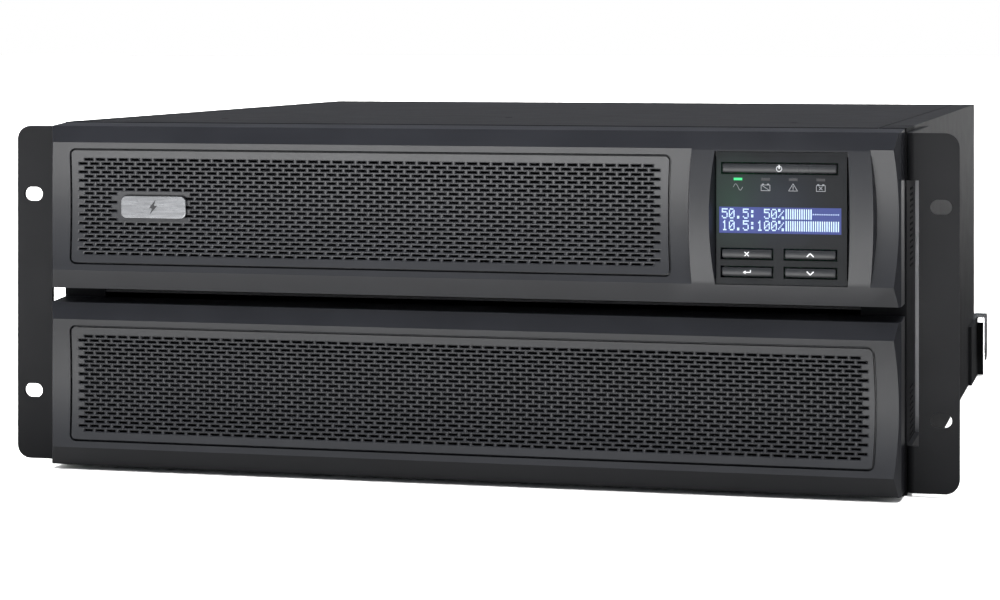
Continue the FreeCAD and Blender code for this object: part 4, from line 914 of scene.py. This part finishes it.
def status_icons():
    """Line icons under the four lights: wave, crossed battery, warning, failed battery."""
    y = box("display_panel")[0].y - PANEL_INK_PROUD
    lights_low, lights_high = box("status_lights")
    online_low, online_high = box("status_light_online")
    spacing = (lights_high.x - lights_low.x - LIGHT_WIDTH) / 2
    z = lights_low.z - ICON_DROP

    def line(x, path, width=ICON_LINE, closed=False):
        return stroke([(x + across, z + up) for across, up in path], width, y, closed)

    def battery(x):
        case = line(x, [(-2.1, -1.6), (2.1, -1.6), (2.1, 1.1), (-2.1, 1.1)], closed=True)
        posts = [line(x, [(s * 1.2 - 0.35, 1.5), (s * 1.2 + 0.35, 1.5)], 0.4) for s in (-1, 1)]
        return join([case, *posts])

    turns = [i / WAVE_STEPS for i in range(WAVE_STEPS + 1)]
    wave = [(4.4 * turn - 2.2, 1.5 * math.sin(2 * math.pi * turn)) for turn in turns]
    first = (online_low.x + online_high.x) / 2
    second, third, fourth = (lights_low.x + LIGHT_WIDTH / 2 + spacing * i for i in range(3))
    shapes = [
        line(first, wave),
        battery(second),
        line(second, [(-1.6, 0.8), (1.6, -1.3)]),
        line(third, [(-2.1, -1.6), (2.1, -1.6), (0, 1.8)], closed=True),
        line(third, [(0, 0.7), (0, -0.5)], 0.3),
        line(third, [(0, -0.95), (0, -1.2)], 0.3),
        battery(fourth),
        line(fourth, [(-0.7, 0.5), (0.7, -0.9)], 0.28),
        line(fourth, [(0.7, 0.5), (-0.7, -0.9)], 0.28),
    ]
    add_piece("status_icons", join(shapes), "chassis", "panel_plastic", finish="grey_ink")


# five columns by seven rows, top row first; each row is read as five bits
GLYPHS = {
    ":": (0, 12, 12, 0, 12, 12, 0),
    ".": (0, 0, 0, 0, 0, 12, 12),
    "0": (14, 17, 19, 21, 25, 17, 14),
    "1": (4, 12, 4, 4, 4, 4, 14),
    "5": (31, 16, 30, 1, 1, 17, 14),
    "%": (24, 25, 2, 4, 8, 19, 3),
    " ": (0, 0, 0, 0, 0, 0, 0),
}
GLYPH_COLUMNS = 5
# plain numbers, each with the share that its bar graph shows
SCREEN_LINES = (("50.5: 50%", 0.5), ("10.5:100%", 1.0))
SCREEN_FRAME = 2
SCREEN_DOTS = (103.6, 16)  # across and up
LINE_DOTS = 8
TEXT_START = 0.022
GRAPH_SPAN = (0.546, 0.99)
SCREEN_BARS = 24


def screen_pixels():
    """Two lines of dot figures, each followed by a bar graph."""
    low, high = box("lcd_module")
    window_low, window_high = low.z + SCREEN_FRAME, high.z - SCREEN_FRAME
    y = low.y - PANEL_INK_PROUD
    width = high.x - low.x
    dot_x = width / SCREEN_DOTS[0]
    dot_z = (window_high - window_low - 1.2) / SCREEN_DOTS[1]
    graph_start, graph_end = (low.x + share * width for share in GRAPH_SPAN)
    bar_pitch = (graph_end - graph_start) / SCREEN_BARS
    parts = []

    def mark(x, top, wide, tall):
        parts.append(prism([(x, top - tall), (x + wide, top - tall), (x + wide, top), (x, top)],
                           y, y + INK_THICKNESS))

    for line, (text, share) in enumerate(SCREEN_LINES):
        top = window_high - 0.75 - line * LINE_DOTS * dot_z
        for place, letter in enumerate(text):
            start = low.x + TEXT_START * width + place * (GLYPH_COLUMNS + 1) * dot_x
            for row, bits in enumerate(GLYPHS[letter]):
                for bit in range(GLYPH_COLUMNS):
                    if bits >> (GLYPH_COLUMNS - 1 - bit) & 1:
                        mark(start + bit * dot_x, top - row * dot_z, 0.84 * dot_x, 0.88 * dot_z)
        for bar in range(SCREEN_BARS):
            x = graph_start + bar * bar_pitch
            if bar < round(SCREEN_BARS * share):
                mark(x, top, 0.48 * bar_pitch, 6.9 * dot_z)
            else:
                mark(x, top - 3 * dot_z, 0.42 * bar_pitch, 0.8 * dot_z)
    add_piece("screen_pixels", join(parts), "chassis", "blue_screen", finish="pixel_ink")


# ---------------------------------------------------------------- turned and repeated pieces

STUD_X = 186
STUD_HEIGHTS = (6.1, 76.4)
STUD_START = RIDGE_Y + 3
# distance from a stud's root and its radius there
STUD_PROFILE = ((0, 3.0), (18, 3.0), (19, 2.5), (21, 2.5), (22, 3.0), (24.2, 1.9), (25, 1.3))
GUARD_RINGS = (10, 18, 26, 34)
GUARD_WIRE = 0.95
GUARD_PROUD = 2.4  # from the guard's seat to the middle of its rings' wires
GUARD_MARGIN = 4
BLADES = 7
BLADE_STATIONS = 9
BLADE_CHORDS = 11
HUB_RADIUS = 15.8
SCREW_HEAD = 2.0
CROSS_ARM = math.radians(14)


def loose_boxes(node):
    """Corners, in millimetres, of each separate solid of a CAD node."""
    work = bmesh.new()
    work.from_mesh(frame["nodes"][node].data)
    weld(work)
    left = set(work.verts)
    boxes = []
    while left:
        waiting = [left.pop()]
        reached = []
        while waiting:
            vertex = waiting.pop()
            reached.append(vertex.co / MM)
            others = {edge.other_vert(vertex) for edge in vertex.link_edges} & left
            left -= others
            waiting += others
        boxes.append(tuple(Vector([limit(co[i] for co in reached) for i in range(3)])
                           for limit in (min, max)))
    work.free()
    return sorted(boxes, key=lambda pair: tuple(round(c, 2) for c in pair[0]))


def turned(profile, start, axis, steps=32, close_start=True):
    """A profile of (along, radius) turned about an axis; a radius may depend on the angle."""
    axis = Vector(axis).normalized()
    up = Vector((0, 1, 0)) if abs(axis.z) > 0.5 else Vector((0, 0, 1))
    across = up.cross(axis).normalized()
    up = axis.cross(across)
    points, faces = [], []
    for along, radius in profile:
        for i in range(steps):
            angle = 2 * math.pi * i / steps
            reach = radius(angle) if callable(radius) else radius
            points.append(Vector(start) + axis * along
                          + (across * math.cos(angle) + up * math.sin(angle)) * reach)
    for first in range(0, len(points) - steps, steps):
        faces += [(first + i, first + j, first + steps + j, first + steps + i)
                  for i, j in around(steps)]
    if close_start:
        faces.append(tuple(range(steps))[::-1])
    faces.append(tuple(range(len(points) - steps, len(points))))
    return points, faces


def cross_recess(reach):
    """Outline of a cross recess, as a radius for each angle."""
    def outline(angle):
        off_arm = abs((angle + math.pi / 4) % (math.pi / 2) - math.pi / 4)
        return reach if off_arm < CROSS_ARM else reach * 0.38
    return outline


def screw(seat, axis, radius, height, shank):
    """A pan-head screw with a cross recess, seated at a point."""
    profile = [(-shank, 0.5 * radius), (0, 0.5 * radius), (0, radius), (0.4 * height, radius),
               (0.8 * height, 0.88 * radius), (height, 0.66 * radius),
               (height, cross_recess(0.56 * radius)), (0.35 * height, cross_recess(0.42 * radius))]
    return turned(profile, seat, axis)


def turned_piece(name, shapes, body, slot, replaces=()):
    return add_piece(name, join(shapes), body, slot, replaces, 40, turn=True)


def screws_outside(node, axis_of):
    """Screws with recessed heads in place of the plain ones of a CAD node."""
    shapes = []
    for low, high in loose_boxes(node):
        axis = Vector(axis_of(low))
        size = high - low
        length = abs(size.dot(axis))
        radius = max(abs(size[i]) for i in range(3) if axis[i] == 0) / 2
        seat = (low + high) / 2 + axis * (length / 2 - SCREW_HEAD)
        shapes.append(screw(seat, axis, radius, SCREW_HEAD, max(length - SCREW_HEAD, 0.2)))
    turned_piece(node, shapes, "chassis", slot_of(node), (node,))


def cover_screw_heads():
    """Flush heads with cross recesses in the top cover."""
    shapes = []
    for low, high in loose_boxes("cover_screws"):
        radius = (high.x - low.x) / 2
        profile = [(low.z - high.z, 0.8 * radius), (-1.2, 0.8 * radius), (-0.2, radius),
                   (0, 0.94 * radius), (0, cross_recess(0.7 * radius)),
                   (-1.1, cross_recess(0.5 * radius))]
        seat = ((low.x + high.x) / 2, (low.y + high.y) / 2, high.z)
        shapes.append(turned(profile, seat, (0, 0, 1)))
    turned_piece("cover_screws", shapes, "chassis", slot_of("cover_screws"), ("cover_screws",))


def bezel_studs(name, spec):
    """Four tapered snap studs behind a bezel, each with a neck near its tip."""
    studs = [turned(STUD_PROFILE, (x, STUD_START, spec["foot"] + h), (0, 1, 0), 24)
             for x in (-STUD_X, STUD_X) for h in STUD_HEIGHTS]
    turned_piece(f"{name}_studs", studs, name, "bezel_plastic")


def wire_ring(centre, radius, steps=72, sides=10):
    """A round wire bent into a ring that faces the rear."""
    points, faces = [], []
    for i, next_i in around(steps):
        angle = 2 * math.pi * i / steps
        for j, next_j in around(sides):
            turn = 2 * math.pi * j / sides
            reach = radius + GUARD_WIRE * math.cos(turn)
            offset = (reach * math.cos(angle), GUARD_WIRE * math.sin(turn), reach * math.sin(angle))
            points.append(centre + Vector(offset))
            faces.append((i * sides + j, i * sides + next_j, next_i * sides + next_j,
                          next_i * sides + j))
    return points, faces


def fan_guard(side, low, high):
    """Round-wire guard: rings welded to two crossed wires, held by a screw at each end."""
    seat = Vector(((low.x + high.x) / 2, low.y, (low.z + high.z) / 2))
    shapes = [wire_ring(seat + Vector((0, GUARD_PROUD, 0)), radius) for radius in GUARD_RINGS]
    reach = (high.x - low.x) / 2 - GUARD_MARGIN
    length = 2 * reach * math.sqrt(2)
    for slope in (-1, 1):
        start = seat + Vector((-reach, GUARD_WIRE, -slope * reach))
        shapes.append(turned([(0, GUARD_WIRE), (length, GUARD_WIRE)], start, (1, 0, slope), 12))
        for dx in (-reach, reach):
            shapes.append(screw(seat + Vector((dx, 0.6, slope * dx)), (0, 1, 0), 4, 2.2, 0.4))
    return turned_piece(f"fan_guard_{side}", shapes, "chassis", slot_of("fan_guards"))


def fan_guards():
    guards = [fan_guard(side, *corners)
              for side, corners in zip(("left", "right"), loose_boxes("fan_guards"))]
    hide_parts("fan_guards")


def fan_rotor(side):
    """Cupped hub with swept, twisted blades."""
    node = f"fan_rotor_{side}"
    low, high = box(node)
    x, z = (low.x + high.x) / 2, (low.z + high.z) / 2
    tip = (high.x - low.x) / 2
    depth = high.y - low.y
    cup = [(0, HUB_RADIUS), (depth - 2.2, HUB_RADIUS), (depth - 0.9, HUB_RADIUS - 0.4),
           (depth - 0.2, HUB_RADIUS - 1.5), (depth, HUB_RADIUS - 3), (depth, HUB_RADIUS - 6),
           (depth - 0.3, HUB_RADIUS - 6.3)]
    hub = turned_piece(f"{node}_hub", [turned(cup, (x, low.y, z), (0, 1, 0), 64, False)],
                       node, "fan_plastic", (node,))
    thicken(hub, 1.2)
    points, faces = [], []
    for number in range(BLADES):
        first = len(points)
        for i in range(BLADE_STATIONS):
            out = i / (BLADE_STATIONS - 1)
            radius = HUB_RADIUS - 0.4 + (tip - HUB_RADIUS) * out
            pitch = math.radians(46 - 14 * out)
            chord = 15 + 8 * out
            lead = 2 * math.pi * number / BLADES + 0.32 * out ** 1.5
            for j in range(BLADE_CHORDS):
                share = j / (BLADE_CHORDS - 1) - 0.5
                angle = lead + share * chord * math.cos(pitch) / radius
                along = (low.y + high.y) / 2 + share * chord * math.sin(pitch)
                points.append((x + radius * math.cos(angle), along + 2.2 * (0.25 - share ** 2),
                               z + radius * math.sin(angle)))
        for i in range(BLADE_STATIONS - 1):
            for j in range(BLADE_CHORDS - 1):
                a = first + i * BLADE_CHORDS + j
                faces.append((a, a + 1, a + BLADE_CHORDS + 1, a + BLADE_CHORDS))
    blades = add_piece(f"{node}_blades", (points, faces), node, "fan_plastic", smooth_angle=60)
    thicken(blades, 1.3)
    soften(blades, 0.35, angle=50)


LID_DEPTH = 14
LID_SEAM = 0.8
SEAM_INSET = 0.7
LABEL_MARGIN = (14, 16)


def battery_cases():
    """Moulded cases with a seam where the lid is welded on, and a plain pale label each."""
    cases, labels = [], []
    for low, high in loose_boxes("battery_blocks"):
        seam = high.y - LID_DEPTH
        corners = (low.x, low.z), (high.x, high.z)
        outer = rounded_outline(*corners, 2.5)
        inner = rounded_outline(*corners, 2.0, SEAM_INSET)
        cases += [prism(outer, low.y, seam), prism(outer, seam + LID_SEAM, high.y),
                  prism(inner, seam - 0.5, seam + LID_SEAM + 0.5)]
        across, along = LABEL_MARGIN
        flat = rounded_outline((low.x + across, low.y + along),
                               (high.x - across, seam - along), 3)
        points, faces = prism(flat, high.z - 0.05, high.z + 0.15)
        labels.append(([(x, y, z) for x, z, y in points], faces))
    piece = add_piece("battery_blocks", join(cases), "battery_drawer", "battery_case",
                      ("battery_blocks",), 35)
    soften(piece, 0.5, angle=50)
    add_piece("battery_labels", join(labels), "battery_drawer", "battery_case",
              finish="label_paper", turn=True)


EAR_WINDOW_REACH = 48
EAR_STRIP = 0.25


def ear_edge(side):
    """Bare cut edge of the ear's side flange, which shows through the window at the bend."""
    mesh = frame["nodes"][f"rack_ear_{side}"].data
    edge = [v.co / MM for v in mesh.vertices if abs(v.co.y / MM - EAR_WINDOW_REACH) < 0.01]
    corners = ((limit(p.x for p in edge), limit(p.z for p in edge)) for limit in (min, max))
    strip = prism(rounded_outline(*corners, 0.5, steps=3), EAR_WINDOW_REACH - EAR_STRIP,
                  EAR_WINDOW_REACH)
    soften(add_piece(f"ear_edge_{side}", strip, "chassis", "black_screws", finish="cut_edge"), 0.15)


# ---------------------------------------------------------------- CAD nodes

# width in millimetres of the rounding on the edges of the nodes it lists
SOFT_EDGES = {
    0.2: ("data_ports", "heat_sinks"),
    0.25: ("rear_clips", "accessory_slot_cover", "battery_tray", "battery_door"),
    0.3: ("rack_ear_left", "rack_ear_right", "rear_brackets", "outlet_banks",
          "battery_terminals", "power_transistors", "display_housing"),
    0.35: ("outlet_large",),
    0.4: ("power_inlet", "battery_strap", "transformer_core"),
    0.5: ("external_battery_connector", "breaker_body", "fan_frames", "door_screw_left",
          "door_screw_right"),
    0.6: ("breaker_reset", "battery_connector_drawer", "battery_connector_fixed",
          "wiring_harness"),
    1.2: ("capacitors",),
    3.0: ("transformer_coil",),
}


def soften_cad(node, width):
    """Merge the flat facets of a CAD mesh and round its sharp edges."""
    item = frame["nodes"][node]
    adjust(item.modifiers.new("Merge facets", "DECIMATE"), decimate_type="DISSOLVE",
           angle_limit=math.radians(0.5))
    soften(item, width, angle=35)


def dress_cad_nodes():
    """Give every CAD node the finish of its slot, and take the sharpness off its edges."""
    for entry in frame["record"]["subparts"]:
        paint(frame["nodes"][entry["node"]], entry["material_slot"])
    # painted shade: the chassis's paint loses its gloss near the front
    paint(frame["nodes"]["chassis_base"], "chassis_paint")
    for width, nodes in SOFT_EDGES.items():
        for node in nodes:
            soften_cad(node, width)


# ---------------------------------------------------------------- studio

# the floor as the unit mirrors it: a pool of light in front, dimmer close by and beside it
FLOOR_HALF = 30.0
POOL_PLACE = (-0.05, -0.42, 0)
POOL_REACH = (0.1, 1.2)
POOL_FADE = 0.35
NEAR_REACH = (-0.25, -0.10)
NEAR_FADE = 0.2
LEFT_REACH = (-0.9, -0.4)
RIGHT_REACH = (0.25, 0.7)
SIDE_FADE = (0.6, 0.35)
# and a strip beside its right wall that brightens towards the rear
STRIP_X = (0.18, 0.26)
STRIP_Y = (0.0, 0.3)
STRIP_TONE = (0.02, 0.45)
STRIP_REACH = (1.0, 5.0)
ROOM_GLOW = 0.11
ROOM_COLOUR = (0.92, 0.95, 1.0)
WALL_GLOW = 0.95
WALL_LEFT_OVER = 0.05
WALL_RISE = (0.22, 0.46)
WALL_SPREAD = (-0.85, -0.15)
CAMERA_PLACE = Vector((334.85, -1291.4, 218.7)) * MM
CAMERA_YAW = math.radians(13.86)
CAMERA_LENS = 96.66
CAMERA_SENSOR = 36
CAMERA_SHIFT = -0.2611
# name, strength, spread in degrees, and the heading along which it shines
SUNS = (
    ("overhead", 11.5, 50, (0.0, 0.05, -1)),
    ("behind", 9.0, 40, (0.15, -1, -0.12)),
    ("left", 4.0, 40, (1, -0.15, -0.35)),
    ("right", 1.5, 40, (-1, -0.1, -0.3)),
)


def floor_material():
    """White to the camera; to reflections, the painted pool of light and the strip of painted
    shade.
    """
    g = new_material("floor")
    paper = g.mix(g.ramp(g.noise(3, 2), 0, 1), (0.90, 0.90, 0.90), (0.93, 0.93, 0.93))
    place = g.axes(g.place())
    x, y = place["X"], place["Y"]
    pool = g.ramp(g.distance(POOL_PLACE), 1.0, POOL_FADE, *POOL_REACH)
    for fade in (g.ramp(y, 1.0, NEAR_FADE, *NEAR_REACH),
                 g.ramp(x, 1.0, SIDE_FADE[1], *RIGHT_REACH),
                 g.ramp(x, SIDE_FADE[0], 1.0, *LEFT_REACH)):
        pool = g.math("MULTIPLY", pool, fade)
    strip = g.math("MULTIPLY", g.ramp(x, 0, 1, *STRIP_X), g.ramp(y, 0, 1, *STRIP_Y))
    # painted light and shade, seen only in reflections
    tone = g.math("ADD", g.math("MULTIPLY", pool, g.math("SUBTRACT", 1.0, strip)),
                  g.math("MULTIPLY", strip, g.ramp(y, *STRIP_TONE, *STRIP_REACH)))
    mirrored = g.mix(tone, (0, 0, 0), paper)
    seen = g.node("LightPath").outputs["Is Camera Ray"]
    g.set(Base_Color=g.mix(seen, mirrored, paper), Roughness=0.9, Specular_IOR_Level=0.0)
    return g.owner


def floor():
    mesh = bpy.data.meshes.new("floor")
    corners = [(x * FLOOR_HALF, y * FLOOR_HALF, 0) for x, y in ((-1, -1), (1, -1), (1, 1), (-1, 1))]
    mesh.from_pydata(corners, [], [(0, 1, 2, 3)])
    mesh.materials.append(floor_material())
    add_object("floor", mesh)


def soft_sun(name, strength, spread, heading):
    """A broad even light that the unit's surfaces don't mirror."""
    light = adjust(bpy.data.lights.new(name, "SUN"), energy=strength, angle=math.radians(spread))
    adjust(add_object(name, light), visible_glossy=False,
           rotation_euler=Vector(heading).to_track_quat("-Z", "Y").to_euler())


def studio_world():
    """White behind the unit for the camera; for the light, a dim room with a pale wall in front."""
    world = bpy.data.worlds.new("studio")
    g = Graph(world)
    g.tree.nodes.clear()
    direction = g.axes(g.node("TexCoord").outputs["Generated"])
    wall = g.math("MULTIPLY", g.ramp(direction["Z"], WALL_GLOW, WALL_LEFT_OVER, *WALL_RISE),
                  g.ramp(direction["Y"], 1, 0, *WALL_SPREAD))
    mix = g.node("MixShader")
    room, white = g.node("Background"), g.node("Background")
    g.feed(room.inputs, Color=ROOM_COLOUR, Strength=g.math("ADD", wall, ROOM_GLOW))
    g.feed(white.inputs, Color=(1, 1, 1))
    g.feed(dict(zip(("share", "room", "white"), mix.inputs)),
           share=g.node("LightPath").outputs["Is Camera Ray"],
           room=room.outputs["Background"], white=white.outputs["Background"])
    g.feed(g.node("OutputWorld").inputs, Surface=mix.outputs["Shader"])
    bpy.context.scene.world = world


def camera():
    """Level camera with its lens shifted down, so that uprights stay upright."""
    data = adjust(bpy.data.cameras.new("camera"), lens=CAMERA_LENS, sensor_width=CAMERA_SENSOR,
                  clip_start=0.01, clip_end=100)
    item = adjust(add_object("camera", data), location=CAMERA_PLACE,
                  rotation_euler=(math.pi / 2, 0, CAMERA_YAW))
    bpy.context.scene.camera = item
    shift_only_at(item, CAMERA_PLACE)


def shift_only_at(item, place):
    """Drive the lens shift so that it fades out once the camera leaves this place."""
    mark = adjust(add_object("camera_mark", None), location=place)
    curve = item.data.driver_add("shift_y")
    curve.driver.type = "SUM"
    variable = curve.driver.variables.new()
    variable.type = "LOC_DIFF"
    variable.targets[0].id = item
    variable.targets[1].id = mark
    while curve.modifiers:
        curve.modifiers.remove(curve.modifiers[0])
    for distance, shift in ((0.0, CAMERA_SHIFT), (0.005, CAMERA_SHIFT), (0.05, 0.0)):
        curve.keyframe_points.insert(distance, shift).interpolation = "LINEAR"


# ---------------------------------------------------------------- build


dress_cad_nodes()
bezel_piece("upper_bezel", UPPER, True)
bezel_piece("lower_bezel", LOWER, False)
grille_piece("upper", UPPER)
grille_piece("lower", LOWER)
badge_piece()
for key in KEY_SIGNS:
    key_piece(key)
    key_sign(key)
status_icons()
screen_pixels()
bezel_studs("upper_bezel", UPPER)
bezel_studs("lower_bezel", LOWER)
screws_outside("ear_screws", lambda low: (math.copysign(1, low.x), 0, 0))
screws_outside("panel_screws", lambda low: (0, 1, 0))
cover_screw_heads()
battery_cases()
fan_guards()
for side in ("left", "right"):
    fan_rotor(side)
    ear_edge(side)

floor()
studio_world()
camera()
for sun in SUNS:
    soft_sun(*sun)
bpy.context.scene.view_settings.view_transform = "Standard"
